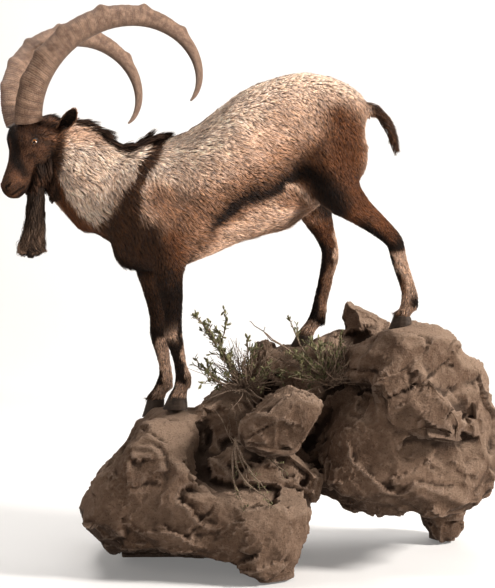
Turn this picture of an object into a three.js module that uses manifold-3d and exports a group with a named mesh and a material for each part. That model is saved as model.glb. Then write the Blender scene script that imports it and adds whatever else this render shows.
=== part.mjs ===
// A mounted bezoar ibex buck, life size, standing on a moulded rock base with low shrubs.
// Millimetres, +Z up. The buck faces -X and its left side faces -Y. The origin lies on the
// base's flat underside, where it meets the floor.
import * as THREE from "three";
import { mergeVertices } from "three/addons/utils/BufferGeometryUtils.js";
import Module from "manifold-3d";

const wasm = await Module();
wasm.setup();

const GAP = 0.3; // between pieces that touch
const V = (x, y, z) => new THREE.Vector3(x, y, z);
const lerp = THREE.MathUtils.lerp;

// Seeded random numbers between 0 and 1.
function dice(seed) {
  let state = seed * 2654435761;
  return () => {
    state = (state * 1664525 + 1013904223) >>> 0;
    return state / 4294967296;
  };
}

// Solids and meshes

// A closed geometry as a solid that faces out.
function solid(geometry) {
  const bare = geometry.index ? geometry.toNonIndexed() : geometry.clone();
  const points = new THREE.BufferGeometry().setAttribute("position", bare.getAttribute("position"));
  const merged = mergeVertices(points, 1e-3);
  const corners = new Uint32Array(merged.index.array);
  const make = () =>
    new wasm.Manifold(
      new wasm.Mesh({ numProp: 3, vertProperties: merged.attributes.position.array, triVerts: corners }),
    );
  const first = make();
  if (first.volume() > 0) return first;
  for (let i = 0; i < corners.length; i += 3) {
    [corners[i + 1], corners[i + 2]] = [corners[i + 2], corners[i + 1]];
  }
  return make();
}

const join = (pieces) => pieces.reduce((whole, piece) => whole.add(piece));

// The largest closed body of a solid, so that a cut leaves no loose scrap.
function largest(body) {
  return body.decompose().reduce((a, b) => (b.volume() > a.volume() ? b : a));
}

const group = new THREE.Group();

function node(name, body, material) {
  const kept = largest(body).getMesh();
  const count = kept.numProp;
  const places = new Float32Array(kept.numVert * 3);
  for (let i = 0; i < kept.numVert; i++)
    places.set(kept.vertProperties.subarray(i * count, i * count + 3), i * 3);
  const geometry = new THREE.BufferGeometry()
    .setAttribute("position", new THREE.BufferAttribute(places, 3))
    .setIndex(new THREE.BufferAttribute(kept.triVerts, 1));
  geometry.computeVertexNormals();
  const mesh = new THREE.Mesh(geometry, material);
  mesh.name = name;
  group.add(mesh);
}

const finish = (color, roughness) => new THREE.MeshStandardMaterial({ color, roughness, metalness: 0 });
const COAT = finish(0xb08c74, 0.9);
const DARK_COAT = finish(0x3a2a20, 0.9);
const HORN = finish(0x7d6150, 0.7);
const HOOF = finish(0x2c241f, 0.6);
const EYE = finish(0x8a4f26, 0.15);
const ROCK = finish(0x6e5a4c, 0.95);
const TWIG = finish(0x5f5a35, 0.9);

// Lofts

// Rows of numbers, smoothed by a curve through them, with a number of steps from row to row.
function smooth(rows, steps) {
  const made = [];
  for (let i = 0; i < rows.length - 1; i++) {
    const [a, b, c, d] = [-1, 0, 1, 2].map((k) => rows[Math.min(rows.length - 1, Math.max(0, i + k))]);
    for (let s = 0; s < steps; s++) {
      const t = s / steps;
      const at = (p, q, r, w) => {
        const square = (2 * p - 5 * q + 4 * r - w) * t * t;
        return 0.5 * (2 * q + (r - p) * t + square + (3 * q - p - 3 * r + w) * t ** 3);
      };
      made.push(b.map((_, k) => at(a[k], b[k], c[k], d[k])));
    }
  }
  made.push(rows.at(-1));
  return made;
}

// A closed skin over rings of equal count, with a fan on each end ring, flat unless its middle is
// moved by a peak.
function skinOver(rings, peaks = [V(0, 0, 0), V(0, 0, 0)]) {
  const sides = rings[0].length;
  const places = [];
  const faces = [];
  for (const ring of rings) for (const p of ring) places.push(p.x, p.y, p.z);
  for (let i = 0; i < rings.length - 1; i++)
    for (let j = 0; j < sides; j++) {
      const [a, b] = [i * sides + j, i * sides + ((j + 1) % sides)];
      faces.push(a, b, b + sides, a, b + sides, a + sides);
    }
  const ends = [
    [rings[0], 0, 1, peaks[0]],
    [rings.at(-1), (rings.length - 1) * sides, -1, peaks[1]],
  ];
  for (const [ring, first, turn, peak] of ends) {
    const middle = ring.reduce((sum, p) => sum.add(p), V(0, 0, 0)).divideScalar(sides).add(peak);
    const centre = places.length / 3;
    places.push(middle.x, middle.y, middle.z);
    for (let j = 0; j < sides; j++) {
      const [a, b] = [first + j, first + ((j + 1) % sides)];
      if (turn > 0) faces.push(centre, b, a);
      else faces.push(centre, a, b);
    }
  }
  return new THREE.BufferGeometry()
    .setAttribute("position", new THREE.BufferAttribute(new Float32Array(places), 3))
    .setIndex(faces);
}

const rounded = (value, power) => Math.sign(value) * Math.abs(value) ** (2 / power);

// One ring round a centre: up and side are half sizes as vectors, power 2 is an ellipse and more is
// squarer, and lean narrows the upper half where it is below 0.
function ring(centre, up, side, sides, power = 2, lean = 0) {
  return Array.from({ length: sides }, (_, j) => {
    const angle = (j / sides) * 2 * Math.PI;
    const high = rounded(Math.sin(angle), power);
    const out = rounded(Math.cos(angle), power) * (1 + lean * high);
    return centre.clone().addScaledVector(up, high).addScaledVector(side, out);
  });
}

// A body part given by rows of top, low, half width, power and lean. toWorld turns the points of
// its own frame to the world's.
function bodyLoft(rows, toWorld, across, sides, steps, grow = 0) {
  const flat = rows.map((r) => [...r.top, ...r.low, r.wide, r.power ?? 2.2, r.lean ?? 0, r.aside ?? 0]);
  return skinOver(
    smooth(flat, steps).map(([tx, tz, lx, lz, wide, power, lean, aside]) => {
      const top = toWorld(tx, aside, tz);
      const low = toWorld(lx, aside, lz);
      const centre = top.clone().add(low).multiplyScalar(0.5);
      const up = top.clone().sub(low).multiplyScalar(0.5);
      up.setLength(up.length() + grow);
      return ring(centre, up, across.clone().multiplyScalar(wide + grow), sides, power, lean);
    }),
  );
}

// A limb along rows of [x, y, z, half depth, half width], with rings square to its line.
function limbLoft(rows, sides, steps, power = 2.2) {
  const line = smooth(rows, steps);
  const at = (i) => V(...line[Math.min(line.length - 1, Math.max(0, i))].slice(0, 3));
  return skinOver(
    line.map(([x, y, z, deep, wide], i) => {
      const along = at(i + 1).sub(at(i - 1)).normalize();
      const side = V(0, 1, 0).addScaledVector(along, -along.y).normalize();
      const fore = along.clone().cross(side).normalize();
      return ring(V(x, y, z), fore.multiplyScalar(deep), side.multiplyScalar(wide), sides, power);
    }),
  );
}

// A flat, tapered lock of hair along a bent line, from a sunk root to a fine tip.
function lock(root, along, bend, length, wide, thick) {
  const flatAcross = along.clone().cross(bend);
  if (flatAcross.length() < 1e-3) flatAcross.set(0, 1, 0);
  flatAcross.normalize();
  const shares = [
    [0, 0.7],
    [0.42, 1],
    [1, 0.08],
  ];
  return skinOver(
    shares.map(([t, share]) => {
      const centre = root.clone().addScaledVector(along, length * t);
      centre.addScaledVector(bend, length * t * t * 0.5);
      const heading = along.clone().addScaledVector(bend, t).normalize();
      const face = heading.clone().cross(flatAcross).normalize();
      const [w, h] = [(wide / 2) * share, Math.max((thick / 2) * share, 0.3)];
      return [
        centre.clone().addScaledVector(flatAcross, w),
        centre.clone().addScaledVector(face, h),
        centre.clone().addScaledVector(flatAcross, -w),
        centre.clone().addScaledVector(face, -h),
      ];
    }),
  );
}

function ball(centre, x, y, z, turn = new THREE.Quaternion(), across = 12, high = 8) {
  return new THREE.SphereGeometry(1, across, high)
    .scale(x, y, z)
    .applyQuaternion(turn)
    .translate(centre.x, centre.y, centre.z);
}

// A box with its own axes, centred, as a geometry.
function block(centre, sizes, axes = [V(1, 0, 0), V(0, 1, 0), V(0, 0, 1)]) {
  const matrix = new THREE.Matrix4().makeBasis(...axes).setPosition(centre);
  return new THREE.BoxGeometry(...sizes).applyMatrix4(matrix);
}

// The head's own frame: NOSE runs down the face, BROW stands out of the forehead, LEFT is the
// buck's left. Its origin lies midway between the horns. The head hangs and turns to its left.
const HEAD_ORIGIN = V(-681, -30, 1357);
const CROWN = V(-0.2516, -0.0227, 0.9676).normalize();
const HEAD_LEFT = V(0.5599, -0.8189, 0.1264).normalize();
const HEAD_FORE = HEAD_LEFT.clone().cross(CROWN).normalize();
const FACE_DROP = THREE.MathUtils.degToRad(60);
// The sum of some directions, each times a number.
function blend(...terms) {
  return terms.reduce((sum, [direction, share]) => sum.addScaledVector(direction, share), V(0, 0, 0));
}
const NOSE = blend([HEAD_FORE, Math.cos(FACE_DROP)], [CROWN, -Math.sin(FACE_DROP)]);
const BROW = blend([HEAD_FORE, Math.sin(FACE_DROP)], [CROWN, Math.cos(FACE_DROP)]);
const headPoint = (nose, left, brow) =>
  blend([HEAD_ORIGIN, 1], [NOSE, nose], [HEAD_LEFT, left], [BROW, brow]);

const SKULL = [
  { top: [-56, -82], low: [52, -176], wide: 56 },
  { top: [-40, -52], low: [72, -150], wide: 60 },
  { top: [-12, -14], low: [88, -128], wide: 60, lean: -0.08 },
  { top: [24, 34], low: [104, -114], wide: 61, lean: -0.1 },
  { top: [55, 40], low: [124, -101], wide: 62, lean: -0.06 },
  { top: [84, 26], low: [142, -88], wide: 54, lean: -0.1 },
  { top: [108, 21], low: [160, -77], wide: 45, lean: -0.18 },
  { top: [134, 22], low: [178, -66], wide: 38, lean: -0.2 },
  { top: [161, 25], low: [196, -57], wide: 34, lean: -0.14 },
  { top: [186, 27], low: [213, -48], wide: 33, lean: -0.05, power: 2.4 },
  { top: [204, 26], low: [226, -37], wide: 31, power: 2.5 },
  { top: [217, 21], low: [235, -25], wide: 26, power: 2.4 },
  { top: [226, 12], low: [239, -13], wide: 17, power: 2.2 },
  { top: [231, 4], low: [238, -5], wide: 7 },
];

const upright = (x, y, z) => V(x, y, z);
const ACROSS = V(0, 1, 0);

const NECK = [
  { top: [-330, 1282], low: [-372, 960], wide: 98, lean: -0.2 },
  { top: [-399, 1298], low: [-442, 1000], wide: 96, lean: -0.22 },
  { top: [-424, 1313], low: [-473, 1017], wide: 92, lean: -0.22, aside: 1 },
  { top: [-460, 1343], low: [-522, 1033], wide: 86, lean: -0.2, aside: 3 },
  { top: [-504, 1363], low: [-559, 1073], wide: 80, lean: -0.16, aside: 6 },
  { top: [-547, 1369], low: [-593, 1112], wide: 74, lean: -0.1, aside: 10 },
  { top: [-585, 1360], low: [-617, 1148], wide: 64, aside: 14 },
  { top: [-614, 1345], low: [-632, 1200], wide: 46, aside: 12 },
];

const TRUNK = [
  { top: [-405, 1290], low: [-430, 1003], wide: 94, lean: -0.2 },
  { top: [-368, 1290], low: [-399, 929], wide: 112, lean: -0.22 },
  { top: [-316, 1302], low: [-337, 904], wide: 126, lean: -0.24 },
  { top: [-254, 1311], low: [-233, 910], wide: 136, lean: -0.24 },
  { top: [-183, 1335], low: [-122, 947], wide: 146, lean: -0.18 },
  { top: [-109, 1387], low: [-29, 987], wide: 151, lean: -0.12 },
  { top: [-29, 1449], low: [45, 1009], wide: 150, lean: -0.08 },
  { top: [63, 1489], low: [119, 1031], wide: 143, lean: -0.08 },
  { top: [156, 1511], low: [168, 1065], wide: 134, lean: -0.06 },
  { top: [239, 1502], low: [217, 1105], wide: 127, lean: -0.04 },
  { top: [310, 1474], low: [270, 1145], wide: 110 },
  { top: [353, 1438], low: [322, 1207], wide: 80 },
  { top: [371, 1408], low: [350, 1275], wide: 44 },
];

// Legs, from the shoulder or hip down to the coronet above the hoof.
const FORE_NEAR = [
  [-275, -68, 1190, 88, 64],
  [-262, -80, 1075, 92, 60],
  [-243, -84, 975, 70, 50],
  [-240, -82, 900, 47, 38],
  [-230, -78, 822, 35, 29],
  [-226, -74, 765, 27, 25],
  [-228, -72, 720, 29.5, 27],
  [-219, -70, 681, 25, 22],
  [-209, -70, 640, 20.5, 17],
  [-203, -70, 606, 21, 17.5],
  [-197, -70, 580, 26, 22],
  [-204, -70, 548, 23, 22],
  [-213, -70, 521, 28, 27],
];
const FORE_FAR = [
  [-304, 68, 1190, 88, 64],
  [-304, 80, 1070, 92, 60],
  [-306, 84, 965, 70, 50],
  [-301, 82, 883, 45, 38],
  [-289, 78, 806, 33, 29],
  [-282, 75, 750, 27, 25],
  [-281, 72, 704, 28.5, 27],
  [-273, 70, 660, 25, 22],
  [-264, 70, 615, 20.5, 17],
  [-259, 70, 578, 21, 17.5],
  [-261, 70, 549, 26, 22],
  [-277, 70, 517, 23.5, 22],
  [-290, 70, 492, 28, 27],
];
const HIND_NEAR = [
  [300, -62, 1385, 70, 56],
  [268, -82, 1290, 98, 62],
  [260, -88, 1207, 94, 60],
  [281, -88, 1146, 70, 52],
  [331, -88, 1097, 47, 40],
  [383, -88, 1056, 36, 30],
  [424, -88, 1021, 30, 24],
  [447, -88, 992, 27, 22],
  [458, -88, 948, 25, 19],
  [474, -88, 897, 24, 18],
  [489, -88, 851, 24, 18.5],
  [493, -88, 820, 27.5, 22],
  [481, -88, 787, 21, 21],
  [471, -88, 773, 26, 26],
];
const HIND_FAR = [
  [275, 62, 1385, 70, 56],
  [228, 82, 1290, 98, 62],
  [205, 88, 1205, 94, 60],
  [199, 88, 1142, 76, 52],
  [214, 88, 1084, 56, 42],
  [238, 88, 1026, 37, 30],
  [257, 88, 976, 29, 24],
  [261, 88, 937, 28, 22],
  [251, 88, 892, 24, 18],
  [241, 88, 842, 23, 17.5],
  [230, 88, 795, 23, 18],
  [223, 88, 753, 26.5, 22],
  [201, 88, 721, 21.5, 21],
  [184, 88, 694, 26, 26],
];
const TAIL = [
  [345, 0, 1396, 28, 34],
  [376, 0, 1399, 25, 28],
  [398, 0, 1391, 21, 23],
  [425, 0, 1358, 19, 20],
  [443, 0, 1321, 17, 18],
  [451, 0, 1290, 14, 15],
  [450, 0, 1268, 7, 8],
];

const BODY_SIDES = 20;
const NECK_SIDES = 18;
const LIMB_SIDES = 10;
// Each limb runs on past its coronet by this share of its last step, and is cut there.
const OVERRUN = 0.8;
const limbs = [FORE_NEAR, FORE_FAR, HIND_NEAR, HIND_FAR].map((rows) => {
  const past = rows.at(-1).map((value, k) => value + (k < 3 ? OVERRUN * (value - rows.at(-2)[k]) : 0));
  return solid(limbLoft([...rows, past], LIMB_SIDES, 2));
});

// A pair of small dewclaws behind each fetlock, at the third row from the limb's end.
const DEWCLAW = { long: 15, wide: 8, spread: 12, back: 19, drop: 14 };
const dewclaws = [FORE_NEAR, FORE_FAR, HIND_NEAR, HIND_FAR].flatMap((rows) => {
  const [x, y, z] = rows.at(-3);
  return [-1, 1].map((side) =>
    solid(
      ball(
        V(x + DEWCLAW.back, y + side * DEWCLAW.spread, z - DEWCLAW.drop),
        DEWCLAW.wide,
        DEWCLAW.wide,
        DEWCLAW.long,
        new THREE.Quaternion(),
        6,
        4,
      ),
    ),
  );
});

// Hooves: two claws a foot, from the coronet down to a sole that lies on the rock.
const CLAW = { apart: 1.4, wide: 27, sides: 14 };
const FEET = {
  front_left: { rows: FORE_NEAR, heel: [-183, 482], toe: [-262, 482] },
  front_right: { rows: FORE_FAR, heel: [-264, 461], toe: [-337, 432] },
  hind_left: { rows: HIND_NEAR, heel: [500, 748], toe: [428, 729] },
  hind_right: { rows: HIND_FAR, heel: [206, 665], toe: [133, 655] },
};

function footFrame(foot) {
  const [x, y, z, deep] = foot.rows.at(-1);
  const [px, , pz] = foot.rows.at(-2);
  const heel = V(foot.heel[0], y, foot.heel[1]);
  const toe = V(foot.toe[0], y, foot.toe[1]);
  const pastern = V(x - px, 0, z - pz).normalize();
  const square = V(pastern.z, 0, -pastern.x);
  if (square.x > 0) square.negate();
  const fore = square.lerp(toe.clone().sub(heel).normalize(), 0.55).normalize();
  const along = V(-fore.z, 0, fore.x);
  if (along.z > 0) along.negate();
  const top = V(x, y, z).addScaledVector(along, GAP);
  return { top, fore, along, deep, heel, toe };
}

function claw(foot, side) {
  const { top, fore, deep, heel, toe } = footFrame(foot);
  const middle = heel.clone().lerp(toe, 0.45);
  const run = toe.clone().sub(heel);
  const outline = (centre, forward, front, back, wide) =>
    Array.from({ length: CLAW.sides }, (_, j) => {
      const angle = (j / CLAW.sides) * 2 * Math.PI;
      const [u, v] = [Math.cos(angle), Math.sin(angle)];
      const reach = u > 0 ? front * u : back * rounded(u, 2.6);
      const narrow = 1 - 0.42 * Math.max(0, u) ** 2;
      const out = v > 0 ? wide * rounded(v, 2.6) * narrow : 0;
      return centre.clone().addScaledVector(forward, reach).add(V(0, side * (CLAW.apart + out), 0));
    });
  const forward = run.clone().normalize();
  const length = run.length();
  const halfway = top.clone().lerp(middle, 0.5);
  const turned = fore.clone().lerp(forward, 0.8).normalize();
  const rings = [
    outline(top, fore, deep * 1.02, deep * 0.98, CLAW.wide),
    outline(halfway, turned, length * 0.46, length * 0.4, CLAW.wide * 1.06),
    outline(middle, forward, length * 0.55, length * 0.45, CLAW.wide * 1.1),
  ];
  return solid(skinOver(rings));
}

// Horns: one curve in the horns' own frame, rising from the crown, sweeping back and down.
// At the share s along it, a horn has turned back by a s + b s^2 + c s^3 radians and leans out by
// d + e s.
const HORN_ROOT_SPREAD = 31;
const HORNS = {
  left: { side: 1, long: 909, turn: [4.66, -5.16, 4.764], splay: [0.45, -0.417] },
  right: { side: -1, long: 921, turn: [4.748, -5.16, 4.764], splay: [0.339, -0.417] },
};
// Half of the front-to-back size at shares of the length; the side-to-side size is narrower.
const HORN_DEPTHS = [
  [0, 46],
  [0.12, 43],
  [0.28, 38.5],
  [0.42, 36],
  [0.55, 32.5],
  [0.68, 27.5],
  [0.8, 20.5],
  [0.9, 13],
  [0.97, 7.5],
  [1, 3],
];
const HORN_NARROWNESS = 0.57;
const KNOBS = [
  { at: 0.13, high: 5 },
  { at: 0.22, high: 7 },
  { at: 0.32, high: 8 },
  { at: 0.46, high: 10 },
  { at: 0.6, high: 10 },
  { at: 0.74, high: 8 },
];
const KNOB_LENGTH = 0.016;
const HORN_SIDES = 10;

function hornLine({ side, long, turn: bend, splay }, count) {
  const line = [];
  const place = V(0, side * HORN_ROOT_SPREAD, 0);
  for (let i = 0; i <= count; i++) {
    const s = i / count;
    const turn = bend[0] * s + bend[1] * s * s + bend[2] * s ** 3;
    const out = splay[0] + splay[1] * s;
    const inPlane = Math.cos(out);
    const heading = V(-Math.sin(turn) * inPlane, side * Math.sin(out), Math.cos(turn) * inPlane);
    const front = V(Math.cos(turn), 0, Math.sin(turn));
    front.addScaledVector(heading, -front.dot(heading)).normalize();
    line.push({ place: place.clone(), heading, front });
    place.addScaledVector(heading, long / count);
  }
  return line;
}

const hornToWorld = (p) => blend([HEAD_FORE, p.x], [HEAD_LEFT, p.y], [CROWN, p.z]);

function hornHalf(s) {
  const next = Math.max(1, HORN_DEPTHS.findIndex(([share]) => share >= Math.min(s, 1)));
  const [[a, from], [b, to]] = [HORN_DEPTHS[next - 1], HORN_DEPTHS[next]];
  return lerp(from, to, (Math.min(s, 1) - a) / (b - a));
}
const knobRise = (s) =>
  KNOBS.reduce((sum, k) => sum + k.high * Math.exp(-(((s - k.at) / KNOB_LENGTH) ** 2)), 0);

const HORN_STEPS = 440;
const STEPS_AROUND_KNOB = [-0.024, -0.008, 0.01, 0.026];
const LEAST_STEP = 0.006;

function hornRings(horn, from, to, grow = 0) {
  const line = hornLine(horn, HORN_STEPS);
  const shares = new Set([from, to]);
  for (let s = 0; s <= 1; s += 0.05) shares.add(s);
  for (const k of KNOBS) for (const d of STEPS_AROUND_KNOB) shares.add(k.at + d);
  const kept = [...shares].filter((s) => s >= from && s <= to).sort((a, b) => a - b);
  const clear = (s, i) => s - kept[i - 1] > LEAST_STEP && to - s > LEAST_STEP;
  const spaced = kept.filter((s, i) => i === 0 || s === to || clear(s, i));
  return spaced.map((s) => {
    const at = line[Math.round(Math.min(1, Math.max(0, s)) * HORN_STEPS)];
    const front = hornToWorld(at.front);
    const heading = hornToWorld(at.heading);
    const aside = heading.clone().cross(front).normalize();
    const centre = HEAD_ORIGIN.clone().add(hornToWorld(at.place));
    const deep = hornHalf(s) + grow;
    const wide = hornHalf(s) * HORN_NARROWNESS + grow;
    return Array.from({ length: HORN_SIDES }, (_, j) => {
      const angle = (j / HORN_SIDES) * 2 * Math.PI;
      const [u, v] = [Math.cos(angle), Math.sin(angle)];
      const keel = u > 0 ? 1 - 0.38 * u * u : 1;
      const onKeel = u > 0.9 ? 1 : u > 0.6 ? 0.4 : 0;
      const reach = deep * u + knobRise(s) * onKeel;
      return blend([centre, 1], [front, reach], [aside, wide * rounded(v, 2.3) * keel]);
    });
  });
}

const HORN_LENGTHS = { root: [0, 0.37], middle: [0.37, 0.68], tip: [0.68, 1] };
const HORN_GAP = GAP / HORNS.left.long;

// Ears: a leaf of skin rolled into a cup, open forwards.
const EAR = { length: 108, thick: 4.5, base: [2, -96], out: 54, curl: 0.0016 };

function ear(side) {
  const root = headPoint(EAR.base[0], side * EAR.out, EAR.base[1]);
  const along = blend([HEAD_LEFT, side * 0.84], [CROWN, 0.42], [HEAD_FORE, -0.3]).normalize();
  const open = blend([HEAD_FORE, 1], [HEAD_LEFT, side * 0.25], [CROWN, -0.2]);
  open.addScaledVector(along, -open.dot(along)).normalize();
  const across = along.clone().cross(open).normalize();
  const rows = [
    [-16, 13, 150],
    [8, 15.5, 140],
    [26, 18, 122],
    [46, 20.5, 100],
    [66, 20.5, 86],
    [84, 17, 76],
    [98, 11, 66],
    [EAR.length, 3, 50],
  ];
  const parts = 5;
  const rings = rows.map(([reach, radius, half]) => {
    const thick = Math.min(EAR.thick, radius * 0.5);
    const centre = blend([root, 1], [along, reach], [open, EAR.curl * reach * reach]);
    const arc = (r) =>
      Array.from({ length: parts + 1 }, (_, i) => {
        const angle = THREE.MathUtils.degToRad(lerp(-half, half, i / parts));
        return blend([centre, 1], [open, -r * Math.cos(angle)], [across, r * Math.sin(angle)]);
      });
    return [...arc(radius), ...arc(radius - thick).reverse()];
  });
  return solid(stripEnded(rings));
}

// Like skinOver, for rings that are a bent strip: each end is closed from edge to edge.
function stripEnded(rings) {
  const sides = rings[0].length;
  const places = [];
  const faces = [];
  for (const r of rings) for (const p of r) places.push(p.x, p.y, p.z);
  for (let i = 0; i < rings.length - 1; i++)
    for (let j = 0; j < sides; j++) {
      const [a, b] = [i * sides + j, i * sides + ((j + 1) % sides)];
      faces.push(a, b, b + sides, a, b + sides, a + sides);
    }
  const ends = [
    [0, 1],
    [(rings.length - 1) * sides, -1],
  ];
  for (const [first, turn] of ends)
    for (let j = 0; j < sides / 2 - 1; j++) {
      const [a, b, c, d] = [j, j + 1, sides - 2 - j, sides - 1 - j].map((k) => first + k);
      if (turn > 0) faces.push(a, c, b, a, d, c);
      else faces.push(a, b, c, a, c, d);
    }
  return new THREE.BufferGeometry()
    .setAttribute("position", new THREE.BufferAttribute(new Float32Array(places), 3))
    .setIndex(faces);
}

// Eyes and their lids.
const EYEBALL = 15.5;
const LID = 4;
const EYE_AT = [63, 47, -25];

function eyeFrame(side) {
  const centre = headPoint(EYE_AT[0], side * EYE_AT[1], EYE_AT[2]);
  const out = blend([HEAD_LEFT, side], [HEAD_FORE, 0.32], [CROWN, 0.1]).normalize();
  const slit = blend([NOSE, 0.75], [BROW, 0.5]);
  slit.addScaledVector(out, -slit.dot(out)).normalize();
  const high = out.clone().cross(slit).normalize();
  return { centre, out, slit, high };
}

// The turn that brings X, Y and Z to three axes.
function turnTo(...axes) {
  return new THREE.Quaternion().setFromRotationMatrix(new THREE.Matrix4().makeBasis(...axes));
}

const SLIT = { long: 14, high: 7.5 };
function eyeSlit(side) {
  const { centre, out, slit, high } = eyeFrame(side);
  const turn = turnTo(slit, high, slit.clone().cross(high));
  const front = centre.clone().addScaledVector(out, EYEBALL);
  return solid(ball(front, SLIT.long, SLIT.high, EYEBALL, turn, 10, 6));
}

// Nostrils, and the mouth as a thin cut between the lips.
const NOSTRIL = { at: [209, 17, 17], long: 10, high: 4.5, deep: 8 };
function nostril(side) {
  const centre = headPoint(NOSTRIL.at[0], side * NOSTRIL.at[1], NOSTRIL.at[2]);
  const longAxis = blend([NOSE, 0.6], [BROW, 0.55], [HEAD_LEFT, -side * 0.5]).normalize();
  const deepAxis = blend([HEAD_LEFT, side], [NOSE, 0.5]);
  deepAxis.addScaledVector(longAxis, -deepAxis.dot(longAxis)).normalize();
  const turn = turnTo(longAxis, deepAxis.clone().cross(longAxis), deepAxis);
  return solid(ball(centre, NOSTRIL.long, NOSTRIL.high, NOSTRIL.deep, turn, 10, 6));
}

const MOUTH = { front: [244, 6], corner: [203, -34], wide: 90, thick: 2 };
function mouthCut() {
  const front = headPoint(MOUTH.front[0], 0, MOUTH.front[1]);
  const corner = headPoint(MOUTH.corner[0], 0, MOUTH.corner[1]);
  const run = front.clone().sub(corner);
  const long = run.length();
  const along = run.normalize();
  const axes = [along, HEAD_LEFT, along.clone().cross(HEAD_LEFT).normalize()];
  return solid(block(front.clone().lerp(corner, 0.5), [long, MOUTH.wide, MOUTH.thick], axes));
}

// Lips: a soft roll above and below the mouth's line, round the muzzle.
function lips() {
  return [1, -1].map((lift) => {
    const rows = Array.from({ length: 9 }, (_, i) => {
      const turn = lerp(-0.5, 0.5, i / 8) * Math.PI;
      const back = 1 - Math.cos(turn);
      const nose = lerp(232, 208, back) - lift * 3;
      const brow = lerp(1, -31, back) + lift * 4.5;
      const place = headPoint(nose, Math.sin(turn) * 31, brow);
      return [place.x, place.y, place.z, 5, 5];
    });
    return solid(limbLoft(rows, 6, 1, 2));
  });
}

// Hair in locks: the beard under the jaw, and the dark crest along the neck and over the withers.
const BEARD_LOCKS = 11;
const BEARD_CORE = [
  [-646, -45, 1196, 22, 14],
  [-645, -45, 1120, 22, 15],
  [-650, -46, 1050, 17, 12],
  [-658, -46, 1000, 18, 12],
  [-662, -46, 965, 10, 7],
];
const BEARD_LOCK = { wide: 26, thick: 9 };

function beard() {
  const roll = dice(7);
  const line = new THREE.CatmullRomCurve3(BEARD_CORE.map(([x, y, z]) => V(x, y, z)));
  const pieces = [solid(limbLoft(BEARD_CORE, 8, 1, 2))];
  for (let i = 0; i < BEARD_LOCKS; i++) {
    const start = lerp(0.05, 0.72, (i * 0.618) % 1);
    const turn = i * 2.4;
    const out = V(Math.cos(turn), Math.sin(turn), 0);
    const root = line.getPoint(start).add(V(out.x * 17, out.y * 12, 0));
    const flare = 0.55 + 0.45 * start;
    const low = lerp(965, 934, roll()) + (1 - start) * 18;
    const foot = V(-664 + out.x * 46 * flare, -46 + out.y * 24 * flare, low);
    const length = foot.distanceTo(root);
    const heading = foot.clone().sub(root).divideScalar(length);
    const bend = V(-0.45 * out.x - 0.1, -0.3 * out.y, 0).multiplyScalar(0.4 + 0.8 * roll());
    heading.addScaledVector(bend, -0.5);
    const wide = BEARD_LOCK.wide * (0.8 + 0.4 * roll());
    pieces.push(solid(lock(root, heading, bend, length, wide, BEARD_LOCK.thick)));
  }
  return join(pieces);
}

const CREST = { locks: 13, long: 76, wide: 36, thick: 9 };
function crest() {
  const roll = dice(11);
  const line = new THREE.CatmullRomCurve3(
    [...NECK.slice(1, 6).reverse(), ...TRUNK.slice(1, 4)].map((r) => V(r.top[0], r.aside ?? 0, r.top[1])),
  );
  return Array.from({ length: CREST.locks }, (_, i) => {
    const t = (i + 0.4) / CREST.locks;
    const root = line.getPoint(t);
    const run = line.getTangent(t);
    const aside = ((i % 3) - 1) * 10;
    const withers = Math.exp(-(((t - 0.8) / 0.1) ** 2));
    const heading = run.clone().multiplyScalar(0.86).add(V(0, aside * 0.014, 0.6 + 0.25 * withers));
    const bend = V(0.1, 0, -0.5 - 0.15 * roll());
    const sunk = root.clone().add(V(0, aside, -8));
    const long = CREST.long * (0.85 + 0.3 * roll() + 0.3 * withers);
    return solid(lock(sunk, heading, bend, long, CREST.wide, CREST.thick));
  });
}

// A ball round an eye's centre, for the eye itself, its socket and the swelling of its lids.
const eyeBall = (side, radius, across = 12) =>
  solid(ball(eyeFrame(side).centre, radius, radius, radius, undefined, across, 8));

// The whole animal as one body, before it is parted into its nodes.
let flesh = join([
  solid(bodyLoft(TRUNK, upright, ACROSS, BODY_SIDES, 2)),
  solid(bodyLoft(NECK, upright, ACROSS, NECK_SIDES, 2)),
  solid(bodyLoft(SKULL, headPoint, HEAD_LEFT, NECK_SIDES, 1)),
  ...limbs,
  ...dewclaws,
  solid(limbLoft(TAIL, 10, 2, 2)),
  ...[1, -1].map((side) => eyeBall(side, EYEBALL + LID, 10)),
  ...lips(),
  ...crest(),
]);

// Sockets and openings of the head.
for (const side of [1, -1]) {
  flesh = flesh
    .subtract(eyeBall(side, EYEBALL + GAP))
    .subtract(eyeSlit(side))
    .subtract(nostril(side));
}
flesh = flesh.subtract(mouthCut());
const HORN_SEAT = 0.2; // the share of a horn that may lie in the head
for (const horn of Object.values(HORNS)) {
  flesh = flesh.subtract(solid(skinOver(hornRings(horn, 0, HORN_SEAT, GAP))));
}

// Each leg ends in a flat face where its hoof begins.
const FOOT_ROOM = [140, 90, 90];
for (const foot of Object.values(FEET)) {
  const { top, fore, along } = footFrame(foot);
  const middle = top.clone().addScaledVector(along, FOOT_ROOM[2] / 2 - GAP);
  flesh = flesh.subtract(solid(block(middle, FOOT_ROOM, [fore, ACROSS, fore.clone().cross(ACROSS)])));
}

// Takes the part of the body inside a region as its own piece, and leaves the gap of a thin cut.
function takeOut(region, grown) {
  const piece = flesh.intersect(region);
  flesh = flesh.subtract(grown);
  return piece;
}
const takeBlock = (centre, sizes, axes) =>
  takeOut(solid(block(centre, sizes, axes)), solid(block(centre, sizes.map((s) => s + 2 * GAP), axes)));

// The middle of an outline's points.
function middleOf(outline) {
  return [0, 1].map((k) => outline.reduce((sum, p) => sum + p[k] / outline.length, 0));
}

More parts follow.
